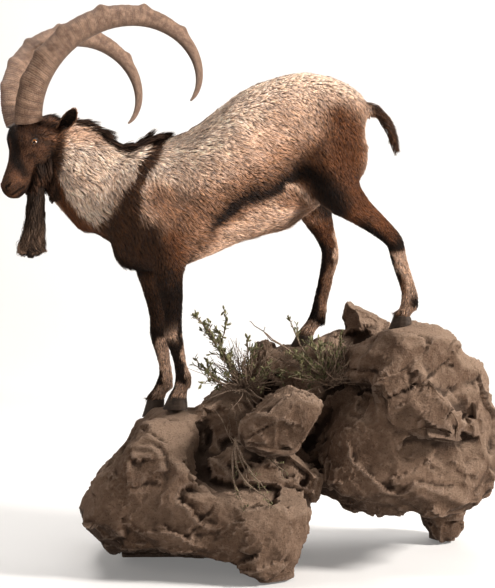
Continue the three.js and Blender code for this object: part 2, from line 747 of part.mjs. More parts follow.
// A prism across the body: an outline in X and Z, from one Y to another.
function prism(outline, y0, y1, grow = 0) {
  const shape = new THREE.Shape(outline.map(([x, z]) => new THREE.Vector2(x, z)));
  const depth = y1 - y0 + 2 * grow;
  const made = new THREE.ExtrudeGeometry(shape, { depth, bevelEnabled: false });
  const middle = middleOf(outline);
  const [width, height] = [0, 1].map((k) => {
    const values = outline.map((p) => p[k]);
    return Math.max(...values) - Math.min(...values);
  });
  made.translate(-middle[0], -middle[1], 0);
  made.scale(1 + (2 * grow) / width, 1 + (2 * grow) / height, 1);
  made.translate(middle[0], middle[1], 0);
  made.rotateX(Math.PI / 2);
  made.translate(0, y1 + grow, 0);
  return solid(made);
}

// Ears and beard end at the skin of the head and neck.
const skinGrown = solid(bodyLoft(SKULL, headPoint, HEAD_LEFT, NECK_SIDES, 1, 2 * GAP)).add(
  solid(bodyLoft(NECK, upright, ACROSS, NECK_SIDES, 2, 2 * GAP)),
);
node("ear_left", ear(1).subtract(skinGrown), COAT);
node("ear_right", ear(-1).subtract(skinGrown), COAT);
node("beard", beard().subtract(skinGrown), DARK_COAT);

node("tail", takeBlock(V(483, 0, 1370), [200, 120, 260]), DARK_COAT);

const NAPE = { at: V(-560, 20, 1240), out: V(-0.96, -0.2, 0.14).normalize() };
const napeAside = V(0, 1, 0).addScaledVector(NAPE.out, -NAPE.out.y).normalize();
const headBox = [400, 600, 900];
node(
  "head",
  takeBlock(NAPE.at.clone().addScaledVector(NAPE.out, headBox[0] / 2), headBox, [
    NAPE.out,
    napeAside,
    NAPE.out.clone().cross(napeAside),
  ]),
  COAT,
);

// The side outline that takes a foreleg off below the chest, from one edge of its elbow to the
// other.
const foreOutline = (front, back) => [
  [front, 922],
  [back, 952],
  [back, 880],
  [-100, 860],
  [-100, 380],
  [-420, 380],
  [-420, 860],
  [front, 880],
];
const HIND_OUTLINE = [
  [138, 1122],
  [379, 1312],
  [379, 1236],
  [650, 1236],
  [650, 600],
  [100, 600],
  [100, 900],
  [138, 1000],
];
for (const [name, inner, outer, front, back] of [
  ["left", -260, -30, -330, -160],
  ["right", 30, 260, -382, -225],
]) {
  const outline = foreOutline(front, back);
  node("leg_front_" + name, takeOut(prism(outline, inner, outer), prism(outline, inner, outer, GAP)), COAT);
}
{
  const both = takeOut(prism(HIND_OUTLINE, -260, 260), prism(HIND_OUTLINE, -260, 260, GAP));
  const midGap = GAP / 2;
  node("leg_hind_left", both.trimByPlane([0, -1, 0], midGap), COAT);
  node("leg_hind_right", both.trimByPlane([0, 1, 0], midGap), COAT);
}

const COLLAR = { at: V(-404, 0, 1150), out: V(-0.976, 0, 0.218).normalize() };
const collarBox = [400, 600, 1200];
node(
  "neck",
  takeBlock(COLLAR.at.clone().addScaledVector(COLLAR.out, collarBox[0] / 2), collarBox, [
    COLLAR.out,
    V(0, 1, 0),
    COLLAR.out.clone().cross(V(0, 1, 0)),
  ]),
  COAT,
);
node("torso", flesh, COAT);

for (const [name, horn] of Object.entries(HORNS)) {
  node("eye_" + name, eyeBall(horn.side, EYEBALL), EYE);
  for (const [part, [from, to]] of Object.entries(HORN_LENGTHS)) {
    const start = from ? from + HORN_GAP : 0;
    node("horn_" + name + "_" + part, solid(skinOver(hornRings(horn, start, to))), HORN);
  }
}
for (const [name, foot] of Object.entries(FEET)) {
  const outer = name.endsWith("left") ? -1 : 1; // the left side faces -Y
  node("hoof_" + name + "_outer", claw(foot, outer), HOOF);
  node("hoof_" + name + "_inner", claw(foot, -outer), HOOF);
}

// The rock base: each rock is an outline across the buck's side view, widest at one depth
// and drawn in towards its front and back faces.
const ROCKS = {
  base_boulder_front: {
    depth: [-335, -275, -90],
    outline: [
      [42, 550], [-1, 515], [-19, 456], [-13, 409], [42, 385], [124, 379], [168, 409], [206, 468],
      [229, 530], [206, 553], [153, 574], [101, 580],
    ],
  },
  base_rock_left: {
    depth: [-285, -20, 285],
    outline: [
      [-205, 486], [-300, 478], [-332, 447], [-374, 400], [-409, 336], [-446, 298], [-484, 280],
      [-494, 233], [-526, 182], [-526, 143], [-495, 95], [-455, 54], [-402, -8], [-244, -30],
      [-118, -10], [-105, 182], [-99, 303], [-111, 400], [-150, 478],
    ],
    undercut: 0.279,
  },
  base_slab_top: {
    depth: [-225, -60, 130],
    outline: [
      [303, 675], [285, 613], [322, 557], [423, 575], [476, 606], [556, 594], [642, 625],
      [653, 684], [628, 724], [585, 743], [505, 752], [430, 740], [382, 715],
    ],
  },
  base_stone_top: {
    depth: [70, 150, 245],
    outline: [
      [326, 789], [313, 741], [317, 653], [356, 618], [443, 637], [468, 718], [419, 763],
      [371, 792], [345, 802],
    ],
  },
  base_rock_back: {
    depth: [-35, 110, 290],
    outline: [
      [21, 672], [8, 630], [-5, 520], [-20, 380], [60, 240], [239, 217], [345, 353], [350, 547],
      [326, 691], [284, 717], [236, 704], [206, 676], [130, 668], [78, 678],
    ],
  },
  base_rock_wedge: {
    depth: [-275, -220, 10],
    outline: [
      [436, 651], [386, 618], [365, 577], [393, 475], [447, 403], [542, 424], [640, 412],
      [657, 463], [605, 550], [539, 630], [480, 657],
    ],
  },
  base_rock_end: {
    depth: [-170, 50, 240],
    outline: [
      [599, 726], [643, 719], [681, 662], [725, 640], [748, 593], [749, 542], [772, 478],
      [776, 234], [767, 176], [701, 144], [650, 170], [600, 273], [560, 427], [575, 586],
    ],
  },
  base_rock_right: {
    depth: [-235, -10, 285],
    outline: [
      [215, 277], [232, 190], [278, 162], [328, 156], [375, 143], [435, 150], [479, 140],
      [542, 118], [637, 118], [699, 146], [755, 185], [757, 277], [700, 400], [600, 560],
      [430, 600], [335, 575], [239, 540], [202, 436], [196, 357],
    ],
  },
  base_rock_low: {
    depth: [-330, -235, 120],
    outline: [
      [-355, 193], [-319, 133], [-245, 78], [-141, 48], [-7, 22], [43, -12], [103, -30], [154, -30],
      [172, 57], [190, 124], [215, 202], [175, 232], [60, 255], [-76, 285], [-200, 275],
      [-289, 238],
    ],
  },
  base_rock_middle: {
    depth: [-225, -110, 170],
    outline: [
      [-129, 359], [-169, 287], [-108, 200], [38, 150], [151, 144], [220, 219], [215, 309],
      [140, 385], [44, 420], [-47, 410],
    ],
  },
  base_rock_ledge: {
    depth: [-120, 60, 280],
    outline: [
      [-188, 452], [-168, 500], [-106, 536], [-43, 564], [24, 561], [71, 507], [77, 395],
      [-24, 300], [-135, 300], [-182, 388],
    ],
  },
  base_foot_right: {
    depth: [130, 240, 320],
    outline: [
      [525, 200], [559, 51], [593, -6], [640, -14], [693, -6], [715, 64], [737, 190], [637, 230],
    ],
  },
  base_foot_back: {
    depth: [-95, 160, 320],
    outline: [
      [-190, 360], [-250, 180], [-215, -60], [-90, -72], [70, -66], [125, 60], [130, 280],
      [60, 380], [-60, 400],
    ],
  },
};
// Towards its front and back faces a rock narrows to these shares of its outline. Each point of a
// narrowed outline is then broken by up to a share of its reach, and moved along Y, for the facets.
const ROCK_SHAPE = { ends: 0.66, near: 0.89, rough: 0.16, roughNear: 0.1, shift: 34, peak: 30 };
// Between rocks, in reach and depth, so that slanting faces keep the usual gap.
const ROCK_GAP = 1.2;
const FULL = 0.985; // no broken point stands out further than this
const PEAK_DRIFT = [90, 70];

function rockBody({ depth, outline, undercut }, index, grow = 0) {
  const roll = dice(index + 17);
  const [front, full, back] = depth;
  const middle = middleOf(outline);
  const { ends, near, rough, roughNear, shift, peak } = ROCK_SHAPE;
  const shares = [
    { y: front + peak - grow, scale: ends, broken: rough },
    { y: lerp(full, front, 0.55) - grow, scale: near, broken: roughNear },
    { y: full, scale: 1, broken: 0 },
    { y: lerp(full, back, 0.55) + grow, scale: near, broken: roughNear },
    { y: back - peak + grow, scale: ends, broken: rough },
  ];
  const rings = shares.map(({ y, scale, broken }) =>
    outline.map(([x, z]) => {
      const [across, up] = [x - middle[0], z - middle[1]];
      const share = Math.min(FULL, scale + (roll() - 0.5) * 2 * broken);
      const reach = (broken ? share : 1) + grow / Math.hypot(across, up);
      const moved = broken ? (roll() - 0.5) * shift : 0;
      return V(middle[0] + across * reach, y + moved, middle[1] + up * reach);
    }),
  );
  const peaks = [-1, 1].map((way) => {
    const [x, z] = PEAK_DRIFT.map((drift) => (roll() - 0.5) * drift);
    return V(x, way * (peak + grow), z);
  });
  const body = solid(skinOver(rings, peaks));
  const level = undercut ? body.trimByPlane([0, undercut, 1], -grow) : body;
  return level.trimByPlane([0, 0, 1], grow ? -60 : 0);
}

// The room over each sole: the rock under a hoof is cut level with it.
const SEAT = { spare: 30, wide: 90, high: 150 };
function seatRoom(foot) {
  const { heel, toe } = footFrame(foot);
  const along = toe.clone().sub(heel).normalize();
  const axes = [along, ACROSS, along.clone().cross(ACROSS)];
  const up = axes[2].clone();
  if (up.z < 0) up.negate();
  const middle = heel.clone().lerp(toe, 0.5).addScaledVector(up, SEAT.high / 2 - GAP);
  return solid(block(middle, [heel.distanceTo(toe) + SEAT.spare, SEAT.wide, SEAT.high], axes));
}
const rooms = join(Object.values(FEET).map(seatRoom));

let placed = rooms;
Object.entries(ROCKS).forEach(([name, rock], i) => {
  node(name, rockBody(rock, i).subtract(placed), ROCK);
  placed = placed.add(rockBody(rock, i, ROCK_GAP));
});

// Low shrubs in the seams of the rock: bent stems from one root, with small blade leaves.
const SHRUBS = {
  shrub_left: {
    root: [-12, -62, 548],
    tips: [
      [-157, -70, 772],
      [-62, -40, 752],
      [-104, -95, 700],
      [-166, -60, 620],
      [26, -90, 678],
    ],
    leaves: 2,
    seed: 4,
  },
  shrub_middle: {
    root: [258, -75, 568],
    tips: [
      [126, -90, 766],
      [288, -60, 716],
      [222, -100, 680],
      [96, -110, 610],
    ],
    twig: [
      [163, -88, 640],
      [60, -86, 712],
      [6, -80, 755],
    ],
    leaves: 2,
    seed: 9,
  },
  shrub_hanging: {
    root: [-38, -168, 408],
    tips: [
      [122, -335, 332],
      [48, -320, 290],
      [8, -290, 192],
    ],
    leaves: 2,
    seed: 12,
  },
};
const STEM = { root: 7, tip: 2.2, knot: 16 };
const LEAF = { long: 13, wide: 6, thick: 3 };

function shrub({ root, tips, twig, leaves, seed }) {
  const roll = dice(seed);
  const base = V(...root);
  const pieces = [solid(ball(base, STEM.knot, STEM.knot, STEM.knot, undefined, 6, 4))];
  const stem = (points, bare) => {
    const line = new THREE.CatmullRomCurve3(points);
    const rows = Array.from({ length: 4 }, (_, i) => {
      const p = line.getPoint(i / 3);
      const thick = lerp(STEM.root, STEM.tip, i / 3);
      return [p.x, p.y, p.z, thick, thick];
    });
    pieces.push(solid(limbLoft(rows, 4, 1, 2)));
    if (bare) return;
    for (let i = 0; i < leaves; i++) {
      const t = lerp(0.42, 1, (i + 0.5) / leaves);
      const stray = V(roll() - 0.5, roll() - 0.5, roll() - 0.3).multiplyScalar(1.6);
      const out = line.getTangent(t).add(stray).normalize();
      const aside = out.clone().cross(V(roll() - 0.5, roll() - 0.5, 0.7)).normalize();
      const turn = new THREE.Matrix4().makeBasis(out, aside, out.clone().cross(aside));
      const blade = new THREE.OctahedronGeometry(1).scale(LEAF.long, LEAF.wide, LEAF.thick);
      blade.applyMatrix4(turn);
      const at = line.getPoint(t).addScaledVector(out, LEAF.long * 0.75);
      pieces.push(solid(blade.translate(at.x, at.y, at.z)));
    }
  };
  for (const tip of tips) {
    const end = V(...tip);
    const drift = V((roll() - 0.5) * 26, (roll() - 0.5) * 20, (roll() - 0.5) * 16);
    const sag = base.clone().lerp(end, 0.5).add(drift);
    stem([base, sag, end], false);
  }
  if (twig) stem([base, ...twig.map((p) => V(...p))], true);
  return join(pieces);
}
for (const [name, plan] of Object.entries(SHRUBS)) node(name, shrub(plan).subtract(placed), TWIG);

export default group;
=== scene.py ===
"""A mounted bezoar ibex buck on a moulded rock base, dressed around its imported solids."""

import math

import bmesh
import bpy
import numpy as np
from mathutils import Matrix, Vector, kdtree, noise


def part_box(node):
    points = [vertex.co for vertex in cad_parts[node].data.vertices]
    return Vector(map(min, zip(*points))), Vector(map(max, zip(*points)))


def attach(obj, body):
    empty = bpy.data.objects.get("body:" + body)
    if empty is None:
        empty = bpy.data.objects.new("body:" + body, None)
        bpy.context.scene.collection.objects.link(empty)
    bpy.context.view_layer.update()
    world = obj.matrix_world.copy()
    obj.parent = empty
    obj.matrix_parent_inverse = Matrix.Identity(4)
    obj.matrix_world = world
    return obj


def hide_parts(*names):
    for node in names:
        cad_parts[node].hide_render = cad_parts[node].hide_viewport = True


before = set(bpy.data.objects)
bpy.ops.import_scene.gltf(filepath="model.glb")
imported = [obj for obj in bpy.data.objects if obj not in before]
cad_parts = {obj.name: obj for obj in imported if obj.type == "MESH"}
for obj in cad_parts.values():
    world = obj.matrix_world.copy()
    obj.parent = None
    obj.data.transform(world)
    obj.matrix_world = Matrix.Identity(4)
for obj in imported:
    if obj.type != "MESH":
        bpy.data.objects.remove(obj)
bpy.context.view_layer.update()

# Skin
# The buck's tanned hide, drawn over its form as one closed surface from nose to pasterns. Lofts
# of head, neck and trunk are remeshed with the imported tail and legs, then sculpted, and drawn in
# by the depth of the coat so that the hair ends where the solids do.

MM = 0.001
HEAD_ORIGIN = np.array([-0.681, -0.030, 1.357])
FACE_DROP = math.radians(60)


def unit(vectors):
    vectors = np.asarray(vectors, float)
    return vectors / np.maximum(np.linalg.norm(vectors, axis=-1, keepdims=True), 1e-9)


CROWN = unit([-0.2516, -0.0227, 0.9676])
HEAD_LEFT = unit([0.5599, -0.8189, 0.1264])
HEAD_FORE = unit(np.cross(HEAD_LEFT, CROWN))
NOSE = HEAD_FORE * math.cos(FACE_DROP) - CROWN * math.sin(FACE_DROP)
BROW = HEAD_FORE * math.sin(FACE_DROP) + CROWN * math.cos(FACE_DROP)
HEAD_AXES = np.array([NOSE, HEAD_LEFT, BROW])


def head_point(nose, left, brow):
    """A place on the head, in millimetres down the face, to its left and out of the brow."""
    return HEAD_ORIGIN + MM * (nose * NOSE + left * HEAD_LEFT + brow * BROW)


def on_head(points):
    """The reverse of head_point, for many points."""
    return (points - HEAD_ORIGIN) @ HEAD_AXES.T / MM


def ramp(low, high, values):
    """0 below low, 1 above high, and a smooth rise between."""
    t = np.clip((values - low) / (high - low), 0, 1)
    return t * t * (3 - 2 * t)


def piece(name, points, faces):
    """A smooth mesh object from arrays; faces is a list, or an array with one face a row."""
    mesh = bpy.data.meshes.new(name)
    if isinstance(faces, np.ndarray):
        corners = faces.shape[1]
        mesh.vertices.add(len(points))
        mesh.vertices.foreach_set("co", np.ascontiguousarray(points, np.float32).ravel())
        mesh.loops.add(faces.size)
        mesh.loops.foreach_set("vertex_index", np.ascontiguousarray(faces, np.int32).ravel())
        mesh.polygons.add(len(faces))
        mesh.polygons.foreach_set("loop_start", np.arange(len(faces), dtype=np.int32) * corners)
        mesh.polygons.foreach_set("loop_total", np.full(len(faces), corners, np.int32))
        mesh.update(calc_edges=True)
    else:
        mesh.from_pydata([tuple(p) for p in points], [], faces)
    mesh.polygons.foreach_set("use_smooth", np.ones(len(mesh.polygons), bool))
    made = bpy.data.objects.new(name, mesh)
    bpy.context.scene.collection.objects.link(made)
    return made


def places(obj):
    values = np.empty(len(obj.data.vertices) * 3, np.float32)
    obj.data.vertices.foreach_get("co", values)
    return values.reshape(-1, 3).astype(float)


def normals(obj):
    values = np.empty(len(obj.data.vertices) * 3, np.float32)
    obj.data.vertex_normals.foreach_get("vector", values)
    return values.reshape(-1, 3).astype(float)


def move_to(obj, points):
    obj.data.vertices.foreach_set("co", np.ascontiguousarray(points, np.float32).ravel())
    obj.data.update()


def loft(rings):
    """Points and four-sided faces over rings of equal count, with a flat cap on each end."""
    rings = np.asarray(rings, float)
    count, sides = rings.shape[:2]
    points = np.vstack([rings.reshape(-1, 3), rings[0].mean(0), rings[-1].mean(0)])
    faces = []
    for i in range(count - 1):
        for j in range(sides):
            a, b = i * sides + j, i * sides + (j + 1) % sides
            faces.append((a, b, b + sides, a + sides))
    for centre, first in ((len(points) - 2, 0), (len(points) - 1, (count - 1) * sides)):
        for j in range(sides):
            faces.append((first + j, first + (j + 1) % sides, centre))
    return points, faces


def smooth_rows(rows, steps):
    """Rows of numbers with more rows between, on a curve through them."""
    rows = np.asarray(rows, float)
    made = []
    for i in range(len(rows) - 1):
        a, b, c, d = (rows[min(len(rows) - 1, max(0, i + k))] for k in (-1, 0, 1, 2))
        for s in range(steps):
            t = s / steps
            cubic = (3 * b - a - 3 * c + d) * t**3
            made.append(0.5 * (2 * b + (c - a) * t + (2 * a - 5 * b + 4 * c - d) * t * t + cubic))
    made.append(rows[-1])
    return np.array(made)


# Down the face: top edge, low edge, half width, squareness and how far the upper half narrows.
SKULL = [
    [-56, -82, 52, -176, 56, 2.2, 0],
    [-40, -52, 72, -150, 60, 2.2, 0],
    [-12, -14, 88, -128, 60, 2.2, -0.08],
    [24, 34, 104, -114, 61, 2.2, -0.1],
    [55, 40, 124, -101, 62, 2.2, -0.06],
    [84, 26, 142, -88, 54, 2.2, -0.1],
    [108, 21, 160, -77, 45, 2.2, -0.18],
    [134, 22, 178, -66, 38, 2.2, -0.2],
    [161, 25, 196, -57, 34, 2.2, -0.14],
    [186, 27, 213, -48, 33, 2.4, -0.05],
    [204, 26, 226, -37, 31, 2.5, 0],
    [217, 21, 235, -25, 26, 2.4, 0],
    [226, 12, 239, -13, 17, 2.2, 0],
    [231, 4, 238, -5, 7, 2.2, 0],
]
# Along the body, in X and Z: top edge, low edge, half width, squareness, upper narrowing, and how
# far the neck bends aside to meet the turned head.
NECK = [
    [-330, 1282, -372, 960, 98, 2.2, -0.2, 0],
    [-399, 1298, -442, 1000, 96, 2.2, -0.22, 0],
    [-424, 1313, -473, 1017, 92, 2.2, -0.22, 1],
    [-460, 1343, -522, 1033, 86, 2.2, -0.2, 3],
    [-504, 1363, -559, 1073, 80, 2.2, -0.16, 6],
    [-547, 1369, -593, 1112, 74, 2.2, -0.1, 10],
    [-585, 1360, -617, 1148, 64, 2.2, 0, 14],
    [-614, 1345, -632, 1200, 46, 2.2, 0, 12],
]
TRUNK = [
    [-405, 1290, -430, 1003, 94, 2.2, -0.2, 0],
    [-368, 1290, -399, 929, 112, 2.2, -0.22, 0],
    [-316, 1302, -337, 904, 126, 2.2, -0.24, 0],
    [-254, 1311, -233, 910, 136, 2.2, -0.24, 0],
    [-183, 1335, -122, 947, 146, 2.2, -0.18, 0],
    [-109, 1387, -29, 987, 151, 2.2, -0.12, 0],
    [-29, 1449, 45, 1009, 150, 2.2, -0.08, 0],
    [63, 1489, 119, 1031, 143, 2.2, -0.08, 0],
    [156, 1511, 168, 1065, 134, 2.2, -0.06, 0],
    [239, 1502, 217, 1105, 127, 2.2, -0.04, 0],
    [310, 1474, 270, 1145, 110, 2.2, 0, 0],
    [353, 1438, 322, 1207, 80, 2.2, 0, 0],
    [371, 1408, 350, 1275, 44, 2.2, 0, 0],
]
# The parts of the legs and tail that the trunk holds: X, Y, Z, half depth and half width.
LIMB_TOPS = [
    [[-275, -58, 1190, 66, 46], [-262, -80, 1075, 92, 60], [-243, -84, 975, 70, 50]]
    + [[-240, -82, 900, 47, 38], [-230, -78, 822, 35, 29]],
    [[-304, 58, 1190, 66, 46], [-304, 80, 1070, 92, 60], [-306, 84, 965, 70, 50]]
    + [[-301, 82, 883, 45, 38], [-289, 78, 806, 33, 29]],
    [[287, -50, 1362, 72, 46], [268, -80, 1290, 93, 58], [260, -88, 1207, 94, 60]]
    + [[281, -88, 1146, 70, 52], [331, -88, 1097, 47, 40]],
    [[265, 48, 1375, 56, 40], [228, 80, 1290, 92, 58], [205, 88, 1205, 94, 60]]
    + [[199, 88, 1142, 76, 52], [214, 88, 1084, 56, 42]],
    [[345, 0, 1396, 28, 34], [376, 0, 1399, 25, 28], [398, 0, 1391, 21, 23]],
]
FLESH = ["tail", "leg_front_left", "leg_front_right", "leg_hind_left", "leg_hind_right"]
SKIN_VOXEL = 0.0056
OVERLAP = 0.0012  # each node is grown by this, so that the remesh closes the gaps between them


def squared(values, power):
    """Sines or cosines raised so that the ring they draw is rounder or squarer."""
    return np.sign(values) * np.abs(values) ** (2 / power)


def body_loft(rows, origin, axes):
    """A loft over rows of top, low and width, in a frame of three axes."""
    angles = np.linspace(0, 2 * math.pi, 40, endpoint=False)
    rings = []
    for top_u, top_v, low_u, low_v, wide, power, lean, aside in smooth_rows(rows, 3):
        high, out = squared(np.sin(angles), power), squared(np.cos(angles), power)
        centre = np.array([(top_u + low_u) / 2, aside, (top_v + low_v) / 2])
        up = np.array([(top_u - low_u) / 2, 0, (top_v - low_v) / 2])
        local = centre + np.outer(high, up)
        local[:, 1] += wide * out * (1 + lean * high)
        rings.append(origin + MM * local @ axes)
    return loft(rings)


def tube(rows, sides=20, power=2.2, steps=3):
    """A loft along rows of X, Y, Z, half depth and half width, with rings square to its line."""
    rows = smooth_rows(rows, steps)
    angles = np.linspace(0, 2 * math.pi, sides, endpoint=False)
    heading = unit(np.gradient(rows[:, :3], axis=0))
    side = unit(np.array([0, 1, 0]) - heading * heading[:, 1:2])
    fore = np.cross(heading, side)
    u = squared(np.sin(angles), power)[None, :, None]
    v = squared(np.cos(angles), power)[None, :, None]
    rings = rows[:, None, :3] + u * (fore * rows[:, 3:4])[:, None] + v * (side * rows[:, 4:5])[:, None]
    return loft(rings * MM)


def evaluated(obj, *modifiers):
    """The object's mesh after some modifiers, each given as its type and settings."""
    for kind, settings in modifiers:
        modifier = obj.modifiers.new(kind.lower(), kind)
        for key, value in settings.items():
            setattr(modifier, key, value)
    graph = bpy.context.evaluated_depsgraph_get()
    mesh = bpy.data.meshes.new_from_object(obj.evaluated_get(graph))
    obj.modifiers.clear()
    obj.data = mesh
    return obj


def joined(name, parts):
    """One object from several lists of points and faces."""
    points, faces = [], []
    for part_points, part_faces in parts:
        first = sum(len(p) for p in points)
        points.append(part_points)
        faces += [tuple(first + i for i in face) for face in part_faces]
    return piece(name, np.vstack(points), faces)


def node_arrays(name, grow):
    """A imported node's points, each moved out by a little, and its faces."""
    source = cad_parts[name]
    bm = bmesh.new()
    bm.from_mesh(source.data)
    bmesh.ops.remove_doubles(bm, verts=bm.verts, dist=1e-5)
    bm.normal_update()
    points = np.array([v.co + v.normal * grow for v in bm.verts])
    faces = [tuple(v.index for v in f.verts) for f in bm.faces]
    bm.free()
    return points, faces


EYEBALL = 15.5
EYE_AT = (63, 47, -25)
SOCKET_WALL = 3  # flesh round the eyeball before the lids are cut


def eye_frame(side):
    """The eye's centre, then its slit, height and outward axes."""
    centre = head_point(EYE_AT[0], side * EYE_AT[1], EYE_AT[2])
    out = unit(side * HEAD_LEFT + 0.32 * HEAD_FORE + 0.1 * CROWN)
    slit = 0.75 * NOSE + 0.5 * BROW
    slit = unit(slit - out * (slit @ out))
    return centre, slit, np.cross(out, slit), out


def ball(centre, radius, across=24, high=14):
    """Points and faces of a ball, as a loft from pole to pole."""
    turns = np.linspace(0, 2 * math.pi, across, endpoint=False)
    rings = []
    for tilt in np.linspace(0.06, math.pi - 0.06, high):
        ring = np.stack([np.cos(turns), np.sin(turns), np.full(across, 0.0)], 1) * math.sin(tilt)
        ring[:, 2] = math.cos(tilt)
        rings.append(centre + radius * ring)
    return loft(rings)


parts = [node_arrays(name, OVERLAP) for name in FLESH]
parts += [body_loft(rows, np.zeros(3), np.eye(3)) for rows in (NECK, TRUNK)]
parts.append(body_loft([[*row, 0] for row in SKULL], HEAD_ORIGIN, HEAD_AXES))
parts += [tube(rows) for rows in LIMB_TOPS]
parts += [ball(eye_frame(side)[0], (EYEBALL + SOCKET_WALL) * MM) for side in (1, -1)]
skin = joined("skin", parts)
bm = bmesh.new()
bm.from_mesh(skin.data)
bmesh.ops.recalc_face_normals(bm, faces=bm.faces)
bm.to_mesh(skin.data)
bm.free()
evaluated(
    skin,
    ("REMESH", {"mode": "VOXEL", "voxel_size": SKIN_VOXEL}),
    ("SMOOTH", {"factor": 0.5, "iterations": 14}),
)
EYE_REACH = 0.034  # how far round an eye the mesh is finest
MUZZLE_FROM = 186  # and from where on down the face


def refine(obj, chosen):
    """Splits each chosen face of a mesh into four, and closes the edge of the finer part."""
    bm = bmesh.new()
    bm.from_mesh(obj.data)
    bm.verts.ensure_lookup_table()
    mask = chosen(np.array([v.co for v in bm.verts]))
    edges = [e for e in bm.edges if mask[e.verts[0].index] and mask[e.verts[1].index]]
    bmesh.ops.subdivide_edges(bm, edges=edges, cuts=1, use_grid_fill=True, smooth=0.5)
    bmesh.ops.triangulate(bm, faces=[f for f in bm.faces if len(f.verts) > 4])
    bm.to_mesh(obj.data)
    bm.free()
    obj.data.polygons.foreach_set("use_smooth", np.ones(len(obj.data.polygons), bool))


def in_face(points):
    """The face, from behind the eyes down to the lips."""
    head = on_head(points)
    return (head[:, 0] > -30) & (head[:, 2] > -150 + 0.4 * head[:, 0])


def in_features(points):
    """The eyes' surrounds and the muzzle."""
    near = on_head(points)[:, 0] > MUZZLE_FROM
    for side in (1, -1):
        near |= np.linalg.norm(points - eye_frame(side)[0], axis=1) < EYE_REACH
    return near


refine(skin, in_face)
refine(skin, in_features)

# Swellings and hollows of the head, each on both sides: nose, left and brow, reach and height.
HEAD_STROKES = [
    [(50, 50, 2), 15, 4.5],
    [(72, 52, -8), 9, 2.0],
    [(94, 43, -24), 14, -3.0],
    [(80, 52, -50), 15, 3.0],
    [(60, 48, -84), 30, 4.5],
    [(110, 36, -54), 17, -3.5],
    [(150, 26, -48), 22, -1.5],
    [(100, 0, 26), 26, 2.0],
    [(60, 0, 40), 16, -2.0],
    [(206, 22, 22), 10, 3.5],
    [(214, 8, 26), 8, 1.5],
    [(208, 21, 15), 5.5, -9.0],
    [(200, 25, 10), 5, -4.0],
    [(220, 16, 2), 9, 1.8],
    [(212, 22, -40), 12, 2.0],
    [(226, 0, -34), 12, 2.5],
    [(228, 0, 12), 3.2, -2.2],
]
# The mouth's line, from the front of the lips back to its corner.
MOUTH = [(240, 2, 3), (234, 15, -2), (224, 25, -12), (212, 29, -24), (202, 31, -34)]
MOUTH_HALF, MOUTH_DEEP = 2.6, 3.4
# Swellings and hollows of the body, each on both sides: X, Y and Z, reach and height.
BODY_STROKES = [
    [(-300, -118, 1235), 60, 6],
    [(-330, -118, 1120), 55, 8],
    [(-262, -125, 1060), 45, 6],
    [(-205, -130, 1120), 40, -7],
    [(-228, -120, 985), 34, 5],
    [(-160, -110, 985), 36, -5],
    [(150, -128, 1225), 58, -14],
    [(205, -132, 1180), 38, -9],
    [(120, -110, 1110), 40, 5],
    [(285, -120, 1400), 44, 6],
    [(240, -118, 1245), 60, 8],
    [(330, -100, 1250), 40, 6],
    [(-560, -60, 1180), 34, -6],
    [(-520, -62, 1110), 34, 5],
]


def band(points, knots):
    """How deep points lie in a bent band: 1 on its middle line, 0 at its edge, less outside.
    Each knot is a place and the band's half width there."""
    knots = np.asarray(knots, float)
    best = np.full(len(points), -9.0)
    for a, b in zip(knots, knots[1:]):
        run = b[:-1] - a[:-1]
        t = np.clip((points - a[:-1]) @ run / (run @ run), 0, 1)
        gap = np.linalg.norm(points - (a[:-1] + t[:, None] * run), axis=1)
        best = np.maximum(best, 1 - gap / (a[-1] + t * (b[-1] - a[-1])))
    return best


def sculpted(points, outward):
    """The skin with its swellings and hollows, and the mouth's line cut in."""
    head = on_head(points)
    push = np.zeros(len(points))
    for (nose, left, brow), reach, height in HEAD_STROKES:
        for side in (1, -1):
            if left == 0 and side < 0:
                continue
            gap = np.linalg.norm(head - (nose, side * left, brow), axis=1)
            push += height * np.exp(-((gap / reach) ** 2))
    for side in (1, -1):
        knots = [[n, side * left, b, MOUTH_HALF] for n, left, b in MOUTH]
        push -= MOUTH_DEEP * ramp(0, 1, band(head, knots))
    for (x, y, z), reach, height in BODY_STROKES:
        for side in (1, -1):
            gap = np.linalg.norm(points / MM - (x, side * y, z), axis=1)
            push += height * np.exp(-((gap / reach) ** 2))
    return points + outward * push[:, None] * MM


SLIT_HALF, SLIT_HIGH = 14.0, 7.6  # the opening between the lids
LID_REACH, LID_OVER, SLIT_UNDER = 27, 2.4, 3  # how far round, over and under the eyeball


def opened_eyes(points):
    """Lids drawn over each eyeball, with the slit between them sunk behind it."""
    made = points.copy()
    for side in (1, -1):
        centre, slit, high, out = eye_frame(side)
        axes = np.array([slit, high, out])
        local = (made - centre) @ axes.T / MM
        distance = np.linalg.norm(local, axis=1)
        close = (distance < LID_REACH) & (local[:, 2] > 0)
        share = np.clip(np.abs(local[:, 0]) / SLIT_HALF, 0, 1)
        lid_edge = SLIT_HIGH * (1 - share**2.2) ** 0.8
        inside = close & (np.abs(local[:, 1] + 0.5) < lid_edge) & (share < 1)
        over = close & ~inside & (distance < EYEBALL + LID_OVER)
        rays = local / np.maximum(distance, 1e-6)[:, None]
        for mask, radius in ((over, EYEBALL + LID_OVER), (inside, EYEBALL - SLIT_UNDER)):
            made[mask] = centre + MM * (rays[mask] * radius) @ axes
    return made


move_to(skin, sculpted(places(skin), normals(skin)))
move_to(skin, opened_eyes(places(skin)))

